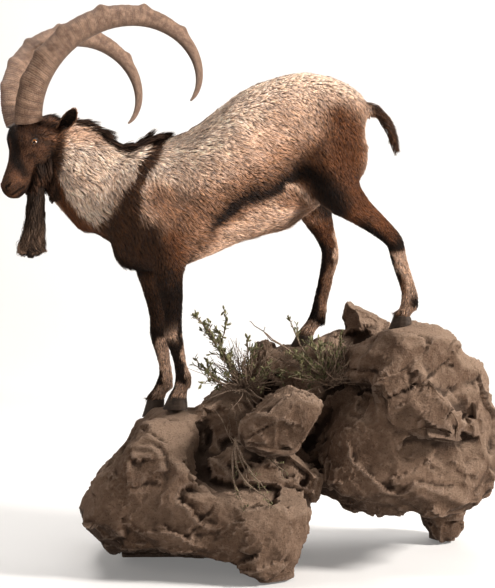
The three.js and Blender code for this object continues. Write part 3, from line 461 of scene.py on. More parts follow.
# How the hair grows: place, lie, length, tuft width and depth of the coat, all in millimetres.
# Places off the middle stand for both sides.
BODY_LIE = [
    [(-590, 0, 1366), (0.9, 0, 0.1), 26, 4.5, 7],
    [(-500, 0, 1362), (0.95, 0, -0.1), 32, 5, 9],
    [(-425, 0, 1312), (0.9, 0, -0.35), 34, 5, 10],
    [(-350, 0, 1290), (0.95, 0, 0.2), 36, 5, 10],
    [(-300, 0, 1303), (1, 0, 0.1), 32, 5, 10],
    [(-555, -75, 1265), (0.8, -0.1, -0.55), 22, 4.2, 7],
    [(-470, -88, 1225), (0.8, 0, -0.6), 25, 4.5, 9],
    [(-440, -90, 1120), (0.55, 0, -0.85), 27, 4.8, 9],
    [(-600, -35, 1195), (0.35, 0, -0.95), 18, 3.8, 5],
    [(-585, 0, 1130), (0.25, 0, -1), 20, 4, 6],
    [(-500, 0, 1045), (0.4, 0, -0.9), 24, 4.4, 7],
    [(-410, 0, 950), (0.8, 0, -0.6), 24, 4.4, 7],
    [(-350, -105, 1010), (0.3, 0, -1), 24, 4.4, 8],
    [(-180, 0, 1335), (1, 0, 0.15), 24, 4.6, 8],
    [(0, 0, 1460), (1, 0, 0.15), 21, 4.4, 8],
    [(160, 0, 1510), (1, 0, -0.05), 20, 4.4, 8],
    [(290, 0, 1480), (0.9, 0, -0.5), 18, 4.2, 7],
    [(365, 0, 1400), (0.2, 0, -1), 18, 4, 7],
    [(-330, -112, 1190), (0.6, 0, -0.8), 24, 4.4, 8],
    [(-230, -140, 1150), (0.75, 0, -0.65), 21, 4.2, 8],
    [(-60, -152, 1210), (0.9, 0, -0.45), 20, 4.2, 8],
    [(80, -145, 1290), (0.9, 0, -0.45), 20, 4.2, 8],
    [(180, -130, 1250), (0.7, 0, -0.7), 18, 4, 7],
    [(-180, -100, 965), (0.9, 0, -0.4), 24, 4.2, 8],
    [(0, -60, 1010), (0.95, 0, -0.3), 26, 4.4, 10],
    [(120, -40, 1070), (0.95, 0, -0.1), 25, 4.4, 9],
    [(300, -105, 1380), (0.55, 0, -0.85), 17, 3.9, 7],
    [(285, -112, 1265), (0.25, 0, -1), 16, 3.8, 6],
    [(235, -105, 1165), (0.1, 0, -1), 16, 3.8, 6],
    [(355, -60, 1300), (0.1, 0, -1), 17, 3.9, 7],
    [(395, 0, 1375), (0.8, 0, -0.6), 20, 4, 8],
    [(440, 0, 1285), (0.4, 0, -0.9), 22, 4, 8],
]
# The same on the head, in its own frame of nose, left and brow.
HEAD_LIE = [
    [(222, 12, 0), (-1, 0.1, -0.1), 4, 1.8, 1.2],
    [(190, 22, 10), (-1, 0.1, -0.15), 5, 2, 1.4],
    [(196, 18, -42), (-0.9, 0, -0.4), 6, 2.1, 1.6],
    [(130, 0, 22), (-1, 0, 0.05), 7, 2.3, 1.8],
    [(130, 30, -20), (-0.95, 0, -0.3), 7, 2.3, 1.8],
    [(80, 0, 32), (-0.9, 0, 0.3), 10, 2.6, 2.6],
    [(30, 0, 36), (-0.8, 0, 0.5), 18, 3.2, 4],
    [(70, 50, 0), (-0.95, 0.1, 0.1), 6, 2.2, 1.8],
    [(85, 48, -55), (-0.85, 0, -0.5), 8, 2.4, 2.2],
    [(140, 22, -62), (-0.8, 0, -0.6), 8, 2.4, 2.2],
    [(85, 46, -90), (-0.4, 0, -0.9), 20, 3.2, 5],
    [(28, 58, -70), (-0.55, 0.1, -0.8), 17, 3.2, 5],
    [(40, 50, -118), (-0.35, 0, -0.95), 26, 3.8, 7],
    [(-30, 30, -40), (-0.85, 0, -0.5), 20, 3.8, 5],
    [(-50, 50, -110), (-0.7, 0, -0.7), 22, 4, 6],
]
# Each leg's middle line: X, Z, half depth, and its share of the way: 0 at the elbow or stifle,
# 1 at the knee or hock, 2 at the fetlock and 3 at the coronet.
LEG_LINES = {
    "front_left": [
        (-250, 985, 66, 0),
        (-230, 822, 35, 0.6),
        (-228, 722, 29, 1),
        (-203, 606, 21, 1.7),
        (-197, 580, 25, 2),
        (-213, 521, 27, 3),
    ],
    "front_right": [
        (-306, 965, 66, 0),
        (-289, 806, 33, 0.6),
        (-281, 706, 28, 1),
        (-259, 578, 21, 1.7),
        (-261, 549, 25, 2),
        (-290, 492, 27, 3),
    ],
    "hind_left": [
        (268, 1190, 90, -0.6),
        (331, 1097, 47, 0),
        (400, 1042, 33, 0.6),
        (447, 992, 27, 1),
        (489, 851, 24, 1.7),
        (493, 820, 27, 2),
        (471, 773, 26, 3),
    ],
    "hind_right": [
        (200, 1180, 90, -0.6),
        (214, 1084, 56, 0),
        (244, 1008, 33, 0.6),
        (261, 937, 28, 1),
        (230, 795, 23, 1.7),
        (223, 753, 26, 2),
        (184, 694, 26, 3),
    ],
}
LEG_SIDE = {"front_left": -0.074, "front_right": 0.074, "hind_left": -0.088, "hind_right": 0.088}
# Length, tuft width and depth of the coat by the leg's share of the way.
LEG_COAT = {0: (17, 3.8, 5.5), 1: (10, 3, 3), 2: (12, 2.8, 2.8), 2.6: (16, 3, 3), 3: (22, 3.2, 3)}
LIE_BLUR = 0.012  # how smoothly one place of the tables passes into the next
EYE_BARE = (0.019, 0.026)  # the coat thins to nothing between these distances from an eye


def lie_rows():
    """All places of the tables above as arrays: place, lie, and the three sizes."""
    rows = []
    for (x, y, z), (dx, dy, dz), long, wide, deep in BODY_LIE:
        for side in (1, -1) if y else (1,):
            rows.append([x * MM, side * y * MM, z * MM, dx, side * dy, dz, long, wide, deep])
    for (n, left, b), (dn, dl, db), long, wide, deep in HEAD_LIE:
        for side in (1, -1) if left else (1,):
            lie = dn * NOSE + side * dl * HEAD_LEFT + db * BROW
            rows.append([*head_point(n, side * left, b), *lie, long, wide, deep])
    for leg, line in LEG_LINES.items():
        for (x0, z0, _, t0), (x1, z1, _, t1) in zip(line, line[1:]):
            for share in (0.1, 0.6):
                t = t0 + share * (t1 - t0)
                sizes = [np.interp(t, list(LEG_COAT), [s[k] for s in LEG_COAT.values()]) for k in range(3)]
                x, z = x0 + share * (x1 - x0), z0 + share * (z1 - z0)
                rows.append([x * MM, LEG_SIDE[leg], z * MM, x1 - x0, 0, z1 - z0, *sizes])
    rows = np.array(rows)
    rows[:, 3:6] = unit(rows[:, 3:6])
    return rows


LIE_ROWS = lie_rows()


def hair_at(points):
    """The lie, length, width and depth of the coat at some points, from the nearest rows."""
    total = np.zeros((len(points), 6))
    weight = np.zeros(len(points))
    for row in LIE_ROWS:
        gap = np.sum((points - row[:3]) ** 2, axis=1)
        share = 1 / (gap + LIE_BLUR**2) ** 2.5
        total += share[:, None] * row[3:]
        weight += share
    total /= weight[:, None]
    return unit(total[:, :3]), total[:, 3], total[:, 4], total[:, 5]


def drawn_in(points, outward):
    """The skin moved in by the coat's depth, but not between the lids."""
    _, _, _, deep = hair_at(points)
    for side in (1, -1):
        gap = np.linalg.norm(points - eye_frame(side)[0], axis=1)
        deep = deep * ramp(*EYE_BARE, gap)
    return points - outward * deep[:, None] * MM


move_to(skin, drawn_in(places(skin), normals(skin)))


def wander(points, scale, reach, seed):
    """A smooth, seeded drift of points, as a sum of waves."""
    rng = np.random.default_rng(seed)
    drift = np.zeros(points.shape)
    for _ in range(6):
        wave = rng.normal(0, 1 / scale, (points.shape[1], points.shape[1]))
        drift += np.sin(points @ wave + rng.uniform(0, 6.3, points.shape[1])) / 2.4
    return points + reach * drift


# Colours of the coat, as they look in daylight.
CREAM = (0.82, 0.72, 0.645)
SAND = (0.7, 0.575, 0.49)
FAWN = (0.52, 0.385, 0.3)
RUST = (0.36, 0.225, 0.145)
UMBER = (0.25, 0.17, 0.12)
SABLE = (0.12, 0.08, 0.057)
FACE_BROWN = (0.29, 0.195, 0.14)
MUZZLE_BROWN = (0.35, 0.24, 0.175)


def painted(colour, new, share):
    """Colours turned towards a new one by a share for each."""
    return colour + (np.array(new) - colour) * np.clip(share, 0, 1)[:, None]


# Markings on the body's side, in X and Z millimetres with half widths: colour, edge, knots.
# The edge is how softly a marking ends, as a share of its width.
BODY_MARKS = [
    [FAWN, 1.6, [(-190, 1070, 46), (-97, 1114, 46), (0, 1165, 46), (90, 1206, 50), (160, 1245, 60)]],
    [UMBER, 1.8, [(-110, 1075, 16), (-22, 1130, 24), (60, 1172, 26), (130, 1215, 34), (172, 1226, 36)]],
    [SAND, 0.8, [(-190, 930, 24), (-107, 976, 34), (-38, 1020, 40)]],
    [SAND, 0.8, [(-20, 1035, 32), (62, 1085, 48), (120, 1120, 44), (160, 1130, 30)]],
    [FAWN, 1.2, [(95, 1130, 20), (130, 1130, 34), (165, 1130, 40)]],
    [SABLE, 0.8, [(-152, 985, 10), (-140, 1008, 14), (-122, 1039, 15), (-88, 1073, 15), (-43, 1107, 14)]],
    [SABLE, 0.9, [(-43, 1107, 14), (7, 1136, 13), (61, 1157, 13), (106, 1192, 15), (145, 1215, 22)]],
    [RUST, 1.8, [(275, 1375, 40), (300, 1345, 66), (290, 1288, 74), (280, 1240, 88)]
        + [(292, 1180, 80), (330, 1120, 66)]],
    [RUST, 1.0, [(300, 1130, 60), (346, 1087, 54), (394, 1048, 48), (437, 1009, 40)]],
    [SABLE, 1.5, [(168, 1232, 18), (200, 1200, 34), (228, 1155, 42), (255, 1105, 42)]],
    [SAND, 0.9, [(105, 1176, 9), (134, 1170, 10), (167, 1141, 10), (187, 1105, 9)]],
    [FAWN, 1.8, [(-262, 1130, 44), (-235, 1075, 60), (-205, 1030, 60), (-160, 1000, 40)]],
    [RUST, 1.6, [(-235, 1000, 36), (-240, 950, 50), (-240, 910, 60)]],
    [UMBER, 1.5, [(-306, 1040, 26), (-292, 975, 38), (-268, 890, 52)]],
    [UMBER, 0.7, [(-286, 1305, 20), (-303, 1258, 17), (-319, 1213, 16)]
        + [(-340, 1169, 19), (-362, 1122, 30)]],
    [UMBER, 0.8, [(-362, 1122, 30), (-385, 1070, 52), (-375, 1010, 66), (-345, 960, 66)]],
    [UMBER, 0.8, [(-500, 1030, 40), (-450, 1030, 48), (-400, 1010, 60)]],
    [RUST, 0.7, [(-604, 1225, 12), (-588, 1180, 15), (-566, 1128, 22), (-528, 1072, 28), (-472, 1028, 34)]],
    [SABLE, 1.5, [(-473, 1010, 26), (-434, 975, 30), (-395, 930, 30), (-355, 915, 30)]],
]
# Softer ones on the neck: colour, share, knots.
NECK_MARKS = [
    [SAND, 0.25, [(-520, 1190, 70), (-420, 1180, 70)]],
    [FAWN, 0.55, [(-590, 1330, 50), (-470, 1310, 44)]],
]
NAPE_LINE = [
    *[(-620, 1380, 24), (-575, 1377, 19), (-520, 1373, 20), (-477, 1363, 21), (-437, 1338, 23)],
    *[(-398, 1302, 24), (-361, 1296, 36), (-315, 1320, 38), (-284, 1322, 24), (-219, 1337, 12)],
]
BACK_LINE = [(-290, 1310), (-180, 1342), (-30, 1455), (150, 1515), (240, 1505), (360, 1430)]

# Markings on the head, in nose, left and brow millimetres.
HEAD_MARKS = [
    [MUZZLE_BROWN, 1.2, [(150, 30, -20, 24), (190, 26, -12, 22), (215, 20, -8, 18)]],
    [MUZZLE_BROWN, 1.6, [(52, 58, -48, 22), (40, 62, -70, 26), (10, 60, -90, 30)]],
    [MUZZLE_BROWN, 1.0, [(63, 54, -8, 8), (86, 50, -22, 8), (72, 54, -44, 9)]],
    [UMBER, 1.2, [(112, 42, -66, 20), (80, 56, -104, 26), (40, 58, -130, 26)]],
    [SABLE, 1.0, [(4, 0, 46, 36), (38, 10, 50, 30), (75, 18, 34, 18), (104, 22, 16, 12)]],
    [SABLE, 1.7, [(89, 20, 30, 15), (122, 24, 16, 15), (145, 26, -2, 13), (165, 27, -18, 11)]],
    [UMBER, 1.7, [(70, 48, -26, 11), (95, 42, -26, 10), (125, 36, -28, 8)]],
    [SABLE, 1.2, [(-40, 0, -30, 40), (-60, 0, -90, 34)]],
    [SABLE, 1.4, [(232, 12, -32, 12), (214, 24, -48, 14), (196, 30, -62, 20)]
        + [(160, 20, -86, 30), (110, 0, -112, 36)]],
    [SABLE, 0.8, [(213, 20, 18, 7), (202, 25, 12, 5)]],
    [SABLE, 0.9, [(238, 4, 2, 3), (224, 25, -13, 3.5), (203, 31, -33, 3.5)]],
]


def wavering(points, scale, seed):
    """Smooth numbers near 0 that differ from place to place."""
    return (wander(points, scale, 1.0, seed) - points)[:, 0]


COVER = 160_000  # tufts over the whole buck
CLUMP = 6  # tufts in a clump
CLUMP_PULL = 0.3  # how far their tips draw together


def leg_place(points):
    """For each point: the nearest leg's share of the way, how far to its front from -1 to 1,
    and how near the leg is, from 0 to 1."""
    best = np.full(len(points), 9.0)
    share, front = np.zeros(len(points)), np.zeros(len(points))
    for leg, line in LEG_LINES.items():
        for (x0, z0, deep0, t0), (x1, z1, deep1, t1) in zip(line, line[1:]):
            a = np.array([x0, LEG_SIDE[leg] / MM, z0]) * MM
            run = np.array([x1 - x0, 0, z1 - z0]) * MM
            t = np.clip((points - a) @ run / (run @ run), 0, 1)
            off = points - (a + t[:, None] * run)
            gap = np.linalg.norm(off, axis=1) / (MM * (deep0 + t * (deep1 - deep0)))
            fore = unit(np.array([run[2], 0, -run[0]]))
            nearer = gap < best
            best[nearer] = gap[nearer]
            share[nearer] = (t0 + t * (t1 - t0))[nearer]
            front[nearer] = (off @ fore / (MM * (deep0 + t * (deep1 - deep0))))[nearer]
    return share, front, 1 - ramp(1.15, 1.6, best)


def around(value, middle, width):
    """A soft bump: 1 at the middle, falling to nothing past the width."""
    return np.exp(-(((value - middle) / width) ** 2))


def leg_colour(points, colour):
    """The legs' markings: rust and black above, a pale shank, dark again at the fetlock."""
    share, front, near = leg_place(points)
    is_hind = points[:, 0] > 0.05
    is_left = points[:, 1] < 0
    patch = wavering(points, 0.03, 5)
    share = share + 0.05 * patch
    front = front + 0.22 * wavering(points, 0.018, 6)
    pale = np.array(SAND) * 1.02
    shank = ramp(1.02, 1.12, share)

    hind = painted(np.tile(RUST, (len(points), 1)), SABLE, ramp(0.2, 0.9, front + 0.2 * share))
    hind = painted(hind, SABLE, around(share, 0.98, 0.13) * np.where(is_left, 1, 0.8))
    hind = painted(hind, pale, np.where(is_left, shank, 0) * (1 - ramp(0.55, 0.85, front)))
    hind = painted(hind, FAWN, np.where(is_left, 0, shank) * (1 - ramp(0.1, 0.5, front)))
    far_rear = np.where(is_left, 0, ramp(0.2, 0.6, share)) * (1 - ramp(-0.75, -0.45, front))
    hind = painted(hind, pale, far_rear)
    hind = painted(hind, RUST, np.where(is_left, 0.7, 0) * around(share, 1.6, 0.16) * ramp(0, 0.4, front))
    back_patch = np.where(is_left, 1 - ramp(-0.4, 0.1, front), 1)
    hind = painted(hind, SABLE, around(share, 2.02, 0.17) * back_patch)

    dark = np.where(is_left, 0.85, 0.35) * ramp(0, 0.6, share)
    fore = painted(np.tile(UMBER, (len(points), 1)), SABLE, dark)
    fore = painted(fore, SABLE, around(share, 1, 0.12))
    fore = painted(fore, pale, np.where(is_left, 0, shank) * (1 - ramp(0.35, 0.6, front)))
    fore = painted(fore, SABLE, np.where(is_left, ramp(1.1, 1.2, share), 0))
    knee = around(share, 0.98, 0.13) * ramp(-0.5, -0.1, front)
    fore = painted(fore, pale, np.where(is_left, knee, 0))
    near_rear = np.where(is_left, ramp(0.98, 1.05, share), 0) * (1 - ramp(-0.8, -0.5, front))
    fore = painted(fore, pale, near_rear)
    fore = painted(fore, SABLE, around(share, 2.0, 0.12) * ramp(-0.1, 0.3, front))

    made = np.where(is_hind[:, None], hind, fore)
    made = painted(made, pale, ramp(2.08, 2.22, share) * (1 - ramp(0.45, 0.8, front)))
    made = painted(made, UMBER, ramp(2.7, 2.95, share) * 0.8)
    reach = np.where(is_hind, ramp(-0.1, 0.4, share), ramp(0.0, 0.5, share))
    return colour + (made - colour) * (near * reach)[:, None]


def coat_colour(points, outward):
    """The colour of the coat at some points, the same for the skin and for the hair on it."""
    side = wander(points[:, [0, 2]] / MM, 60, 7, 3)
    side = wander(side, 16, 3, 4)
    low = np.interp(side[:, 0], [-420, -230, 170, 270], [940, 930, 1080, 1150])
    high = np.interp(side[:, 0], [-420, -254, -109, 63, 240, 350], [1290, 1311, 1387, 1489, 1502, 1438])
    up = (side[:, 1] - low) / (high - low) - 0.22 * ramp(-160, 130, side[:, 0])
    colour = painted(np.tile(FAWN, (len(points), 1)), SAND, ramp(0.12, 0.5, up))
    colour = painted(colour, CREAM, ramp(0.45, 0.85, up))
    on_neck = ramp(-380, -430, side[:, 0])
    colour = painted(colour, CREAM, on_neck)
    for new, share, knots in NECK_MARKS:
        colour = painted(colour, new, on_neck * share * ramp(0, 0.9, band(side, knots)))
    for new, edge, knots in BODY_MARKS:
        colour = painted(colour, new, ramp(-edge / 2, edge / 2, band(side, knots)))
    mane = ramp(-0.2, 0.3, band(side, NAPE_LINE)) * (1 - ramp(0.05, 0.085, np.abs(points[:, 1])))
    colour = painted(colour, SABLE, mane)
    line_x, line_z = np.array(BACK_LINE).T
    below = np.interp(side[:, 0], line_x, line_z) - side[:, 1]
    stripe = (1 - ramp(10, 22, np.abs(points[:, 1]) / MM)) * (1 - ramp(20, 50, below))
    colour = painted(colour, UMBER, 0.75 * stripe * (side[:, 0] > -300))
    # The haunch's faces turned to the rear, towards the key lamp, are painted paler: painted light on that
    # rim.
    lit_rear_rim = ramp(0.5, 0.85, outward[:, 0]) * ramp(300, 340, side[:, 0]) * ramp(1180, 1240, side[:, 1])
    colour = painted(colour, SAND, 0.7 * lit_rear_rim)
    colour = painted(colour, UMBER, ramp(378, 396, side[:, 0]) * ramp(1230, 1260, side[:, 1]))
    under = ramp(0.55, 0.85, -outward[:, 2]) * ramp(-240, -180, side[:, 0]) * (side[:, 0] < 240)
    colour = painted(colour, SAND, 0.6 * under * ramp(900, 930, side[:, 1]))
    colour = leg_colour(points, colour)

    head = on_head(points)
    head[:, 1] = np.abs(head[:, 1])
    head = wander(head, 22, 2.5, 5)
    on_face = ramp(-14, 4, head[:, 2] + 88 + 0.19 * head[:, 0]) * ramp(-45, -12, head[:, 0])
    on_face *= 1 - ramp(64, 80, head[:, 1]) * ramp(60, 20, head[:, 0])
    face = np.tile(FACE_BROWN, (len(points), 1))
    for new, edge, knots in HEAD_MARKS:
        face = painted(face, new, ramp(-edge / 2, edge / 2, band(head, knots)))
    colour = colour + (face - colour) * on_face[:, None]
    mottle = 0.6 * wavering(points, 0.006, 12) + 0.4 * wavering(points, 0.02, 13)
    return colour * (1 + (0.09 + 0.13 * on_face) * mottle)[:, None]


def linear(colours):
    """Colours as they look, turned into the renderer's linear values."""
    colours = np.clip(colours, 0, 1)
    return np.where(colours < 0.04045, colours / 12.92, ((colours + 0.055) / 1.055) ** 2.4)


def set_colour(obj, name, colours):
    """Stores colours, given as they look, on a mesh's points."""
    attribute = obj.data.color_attributes.new(name, "FLOAT_COLOR", "POINT")
    values = np.ones((len(colours), 4), np.float32)
    values[:, :3] = linear(colours)
    attribute.data.foreach_set("color", values.ravel())


def set_number(obj, name, numbers):
    attribute = obj.data.attributes.new(name, "FLOAT", "POINT")
    attribute.data.foreach_set("value", np.ascontiguousarray(numbers, np.float32))


HAIR_COLOUR = "hair_colour"
# The hide under the coat takes the coat's colours darkened to 0.62: painted shade between the tufts.
set_colour(skin, HAIR_COLOUR, coat_colour(places(skin), normals(skin)) * 0.62)


class Wire:
    """One output of a shader node. Arithmetic on it adds Math nodes."""

    def __init__(self, socket):
        self.socket = socket

    def node(self, kind, settings, inputs, output=0):
        """Adds a node to the same tree: its settings first, then its sockets' values or links."""
        tree = self.socket.id_data
        made = tree.nodes.new(kind)
        for key, value in settings.items():
            setattr(made, key, value)
        for key, value in inputs.items():
            if isinstance(value, Wire):
                tree.links.new(value.socket, made.inputs[key])
            elif isinstance(value, tuple) and len(value) == 3 and made.inputs[key].type == "RGBA":
                made.inputs[key].default_value = (*value, 1)
            else:
                made.inputs[key].default_value = value
        return Wire(made.outputs[output])

    def maths(self, operation, *values):
        return self.node("ShaderNodeMath", {"operation": operation}, dict(enumerate(values)))

    def __add__(self, other):
        return self.maths("ADD", self, other)

    __radd__ = __add__

    def __mul__(self, other):
        return self.maths("MULTIPLY", self, other)

    __rmul__ = __mul__

    def between(self, low, high):
        """0 where this is below low, 1 above high."""
        inputs = {0: self, 1: low, 2: high}
        return self.node("ShaderNodeMapRange", {"interpolation_type": "SMOOTHSTEP"}, inputs)

    def mixed(self, first, second):
        """Two colours mixed by this share."""
        return self.node("ShaderNodeMix", {"data_type": "RGBA"}, {0: self, 6: first, 7: second}, 2)

    def darkened(self, share):
        """This colour times a number."""
        inputs = {0: 1.0, 6: self, 7: share}
        return self.node("ShaderNodeMix", {"data_type": "RGBA", "blend_type": "MULTIPLY"}, inputs, 2)


def layered(colour, layers):
    """A colour with others over it, each with what it follows, from where to where, and its share."""
    for guide, low, high, share, new in layers:
        colour = (guide.between(low, high) * share).mixed(colour, new)
    return colour


class Finish:
    """A new material: its shader, and what its patterns start from."""

    def __init__(self, name, **constants):
        self.material = bpy.data.materials.new(name)
        self.material.use_nodes = True
        self.shader = self.material.node_tree.nodes["Principled BSDF"]
        for key, value in constants.items():
            self.shader.inputs[key.replace("_", " ")].default_value = value
        self.start = Wire(self.material.node_tree.nodes.new("ShaderNodeTexCoord").outputs["Object"])

    def attribute(self, name, output):
        return self.start.node("ShaderNodeAttribute", {"attribute_name": name}, {}, output)

    def noise(self, scale, detail=3.0, roughness=0.55, vector=None):
        inputs = {"Vector": vector or self.start, "Scale": scale, "Detail": detail, "Roughness": roughness}
        return self.start.node("ShaderNodeTexNoise", {}, inputs)

    def bump(self, height, strength, distance, under=None):
        inputs = {"Strength": strength, "Distance": distance, "Height": height}
        if under:
            inputs["Normal"] = under
        return self.start.node("ShaderNodeBump", {}, inputs)

    def set(self, **sockets):
        for key, value in sockets.items():
            socket = self.shader.inputs[key.replace("_", " ")]
            self.material.node_tree.links.new(value.socket, socket)
        return self.material


def hide_finish():
    """Short hair seen between the tufts: the marking colour, streaked fine, with a nap in relief."""
    made = Finish("hide_under_hair", Roughness=0.85, Specular_IOR_Level=0.15)
    streaks = made.noise(420, 4, 0.7)
    patches = made.noise(60, 3)
    colour = made.attribute(HAIR_COLOUR, "Color").darkened(streaks * 0.7 + patches * 0.5 + 0.4)
    return made.set(Base_Color=colour, Normal=made.bump(streaks, 0.7, 0.002))


HIDE = hide_finish()
skin.data.materials.append(HIDE)


def unwrapped(obj, name="OFBake"):
    """Lays a mesh out flat by the way its faces look, for the maps of the coat on it."""
    obj.data.uv_layers.new(name=name)
    bpy.ops.object.select_all(action="DESELECT")
    obj.select_set(True)
    bpy.context.view_layer.objects.active = obj
    bpy.ops.object.mode_set(mode="EDIT")
    bpy.ops.mesh.select_all(action="SELECT")
    bpy.ops.uv.smart_project(angle_limit=math.radians(66), island_margin=0.001)
    bpy.ops.object.mode_set(mode="OBJECT")
    return obj


unwrapped(skin)
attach(skin, "root")
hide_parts("head", "neck", "torso", *FLESH)


# Coat
# The buck's winter coat, in closed, tapered tufts of hair, each rooted in the hide and lying
# back along the body. They are drawn in joined meshes, a few for each part of the body.

HAIR = Finish("winter_hair", Roughness=0.75, Specular_IOR_Level=0.15)
HAIR.set(
    Base_Color=HAIR.attribute(HAIR_COLOUR, "Color").darkened(HAIR.noise(260, 3, 0.7) * 0.6 + 0.7)
)
PATCH = 0.003  # a tuft's size on the flat map


class Roots:
    """Where hairs start: their places, the ways out of the hide and their places on the flat map."""

    def __init__(self, points, outward, flat):
        self.points, self.outward, self.flat = points, outward, flat

    def kept(self, mask):
        return Roots(self.points[mask], self.outward[mask], self.flat[mask])


def rooted(obj, count, share, rng):
    """Roots on a mesh, spread evenly by area and by a share for each face."""
    mesh = obj.data
    mesh.calc_loop_triangles()
    corners, loops = np.empty((2, len(mesh.loop_triangles) * 3), np.int32)
    mesh.loop_triangles.foreach_get("vertices", corners)
    mesh.loop_triangles.foreach_get("loops", loops)
    corners, loops = corners.reshape(-1, 3), loops.reshape(-1, 3)
    points, outward = places(obj), normals(obj)
    flat = np.empty(len(mesh.loops) * 2, np.float32)
    mesh.uv_layers["OFBake"].uv.foreach_get("vector", flat)
    flat = flat.reshape(-1, 2)
    a, b, c = (points[corners[:, k]] for k in range(3))
    area = np.linalg.norm(np.cross(b - a, c - a), axis=1) / 2
    ends = np.cumsum(area * share((a + b + c) / 3))
    picks = (np.arange(count) + rng.random(count)) / count * ends[-1]
    face = np.minimum(np.searchsorted(ends, picks), len(ends) - 1)
    u, v = rng.random(count), rng.random(count)
    over = u + v > 1
    u[over], v[over] = 1 - u[over], 1 - v[over]
    weights = np.stack([1 - u - v, u, v], 1)[:, :, None]
    return Roots(
        (points[corners[face]] * weights).sum(1),
        unit((outward[corners[face]] * weights).sum(1)),
        (flat[loops[face]] * weights).sum(1),
    )


def tufts(name, roots, path, half_wide, half_thick, colours, fade=0.2):
    """One mesh of tufts. path gives each tuft's line as an array of rings by points by 3, from the
    root to the tip; half_wide and half_thick are for each tuft."""
    steps, count = path.shape[:2]
    rings = steps - 2
    heading = unit(path[2:] - path[:-2])
    aside = unit(np.cross(heading, roots.outward[None]))
    face = np.cross(aside, heading)
    shape = np.sin(np.linspace(0, math.pi, rings + 2)[1:-1] ** 0.9)[:, None, None]
    if rings == 1:
        shape = np.ones((1, 1, 1))
    wide, thick = half_wide[None, :, None] * shape, half_thick[None, :, None] * shape
    left, right = path[1:-1] + aside * wide, path[1:-1] - aside * wide
    ridge = path[1:-1] + face * thick
    each = 2 + 3 * rings
    points = np.empty((count, each, 3))
    points[:, 0], points[:, -1] = path[0], path[-1]
    for k in range(rings):
        points[:, 1 + 3 * k], points[:, 2 + 3 * k], points[:, 3 + 3 * k] = left[k], ridge[k], right[k]
    last, tip = 1 + 3 * (rings - 1), each - 1
    faces = [(0, 2, 1), (0, 3, 2), (0, 1, 3)]
    faces += [(last, last + 1, tip), (last + 1, last + 2, tip), (last + 2, last, tip)]
    for k in range(rings - 1):
        a = 1 + 3 * k
        for p, q in ((a, a + 1), (a + 1, a + 2), (a + 2, a)):
            faces += [(p, q, q + 3), (p, q + 3, p + 3)]
    faces = (np.array(faces)[None] + (np.arange(count) * each)[:, None, None]).reshape(-1, 3)
    made = piece(name, points.reshape(-1, 3), faces)

    # Each hair runs from darker at the root to lighter at the tip by fade: painted shade low among the
    # hairs, painted light on the tips.
    along = np.concatenate([[0], np.repeat(np.arange(1, rings + 1) / (rings + 1), 3), [1]])
    shade = 1 - fade + 2 * fade * along
    set_colour(made, HAIR_COLOUR, (colours[:, None] * shade[None, :, None]).reshape(-1, 3))
    spots = np.zeros((each, 2))
    spots[:, 1] = (along - 0.5) * PATCH
    spots[1:-1, 0] = np.tile([-0.5, 0, 0.5], rings) * PATCH
    flat = (roots.flat[:, None] + spots[None]).reshape(-1, 2)
    layer = made.data.uv_layers.new(name="OFBake")
    layer.uv.foreach_set("vector", flat[faces.ravel()].astype(np.float32).ravel())
    made.data.materials.append(HAIR.material)
    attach(made, "root")
    return made


def coat_share(points):
    """How thickly the tufts stand: more of the short, narrow ones."""
    _, long, wide, _ = hair_at(points)
    return np.clip(long / 6, 2.0, 4.0) / (long * wide)


def tree_of(points):
    """A tree that finds the nearest of some points."""
    tree = kdtree.KDTree(len(points))
    for i, place in enumerate(points):
        tree.insert(place, i)
    tree.balance()
    return tree


def clumped(path, share, size, rng):
    """Draws the tips together in clumps, and gives each hair its clump and its place in it."""
    count = path.shape[1]
    heads = rng.choice(count, count // size, replace=False)
    tree = tree_of(path[1, heads])
    found = [tree.find(place) for place in path[1]]
    clump = np.array([f[1] for f in found])
    away = np.array([f[2] for f in found])
    lead = path[:, heads[clump]]
    made = path.copy()
    for k in range(1, len(path)):
        pull = np.reshape(share * (k / (len(path) - 1)) ** 1.5, (-1, 1))
        made[k] = path[k] + (lead[k] - path[k]) * pull
    mean = np.bincount(clump, away, len(heads)) / np.maximum(np.bincount(clump, minlength=len(heads)), 1)
    return made, clump, away / np.maximum(mean[clump], 1e-9)


def laid(roots, lie, long, rise, sink, bend, lift):
    """Lines of three points: from under the hide, over a bend at a share of the way, to the tip."""
    return np.stack(
        [
            roots.points - roots.outward * sink,
            roots.points + lie * (bend * long)[:, None] + roots.outward * (0.6 * rise)[:, None],
            roots.points + lie * long[:, None] + roots.outward * (rise * lift)[:, None],
        ]
    )


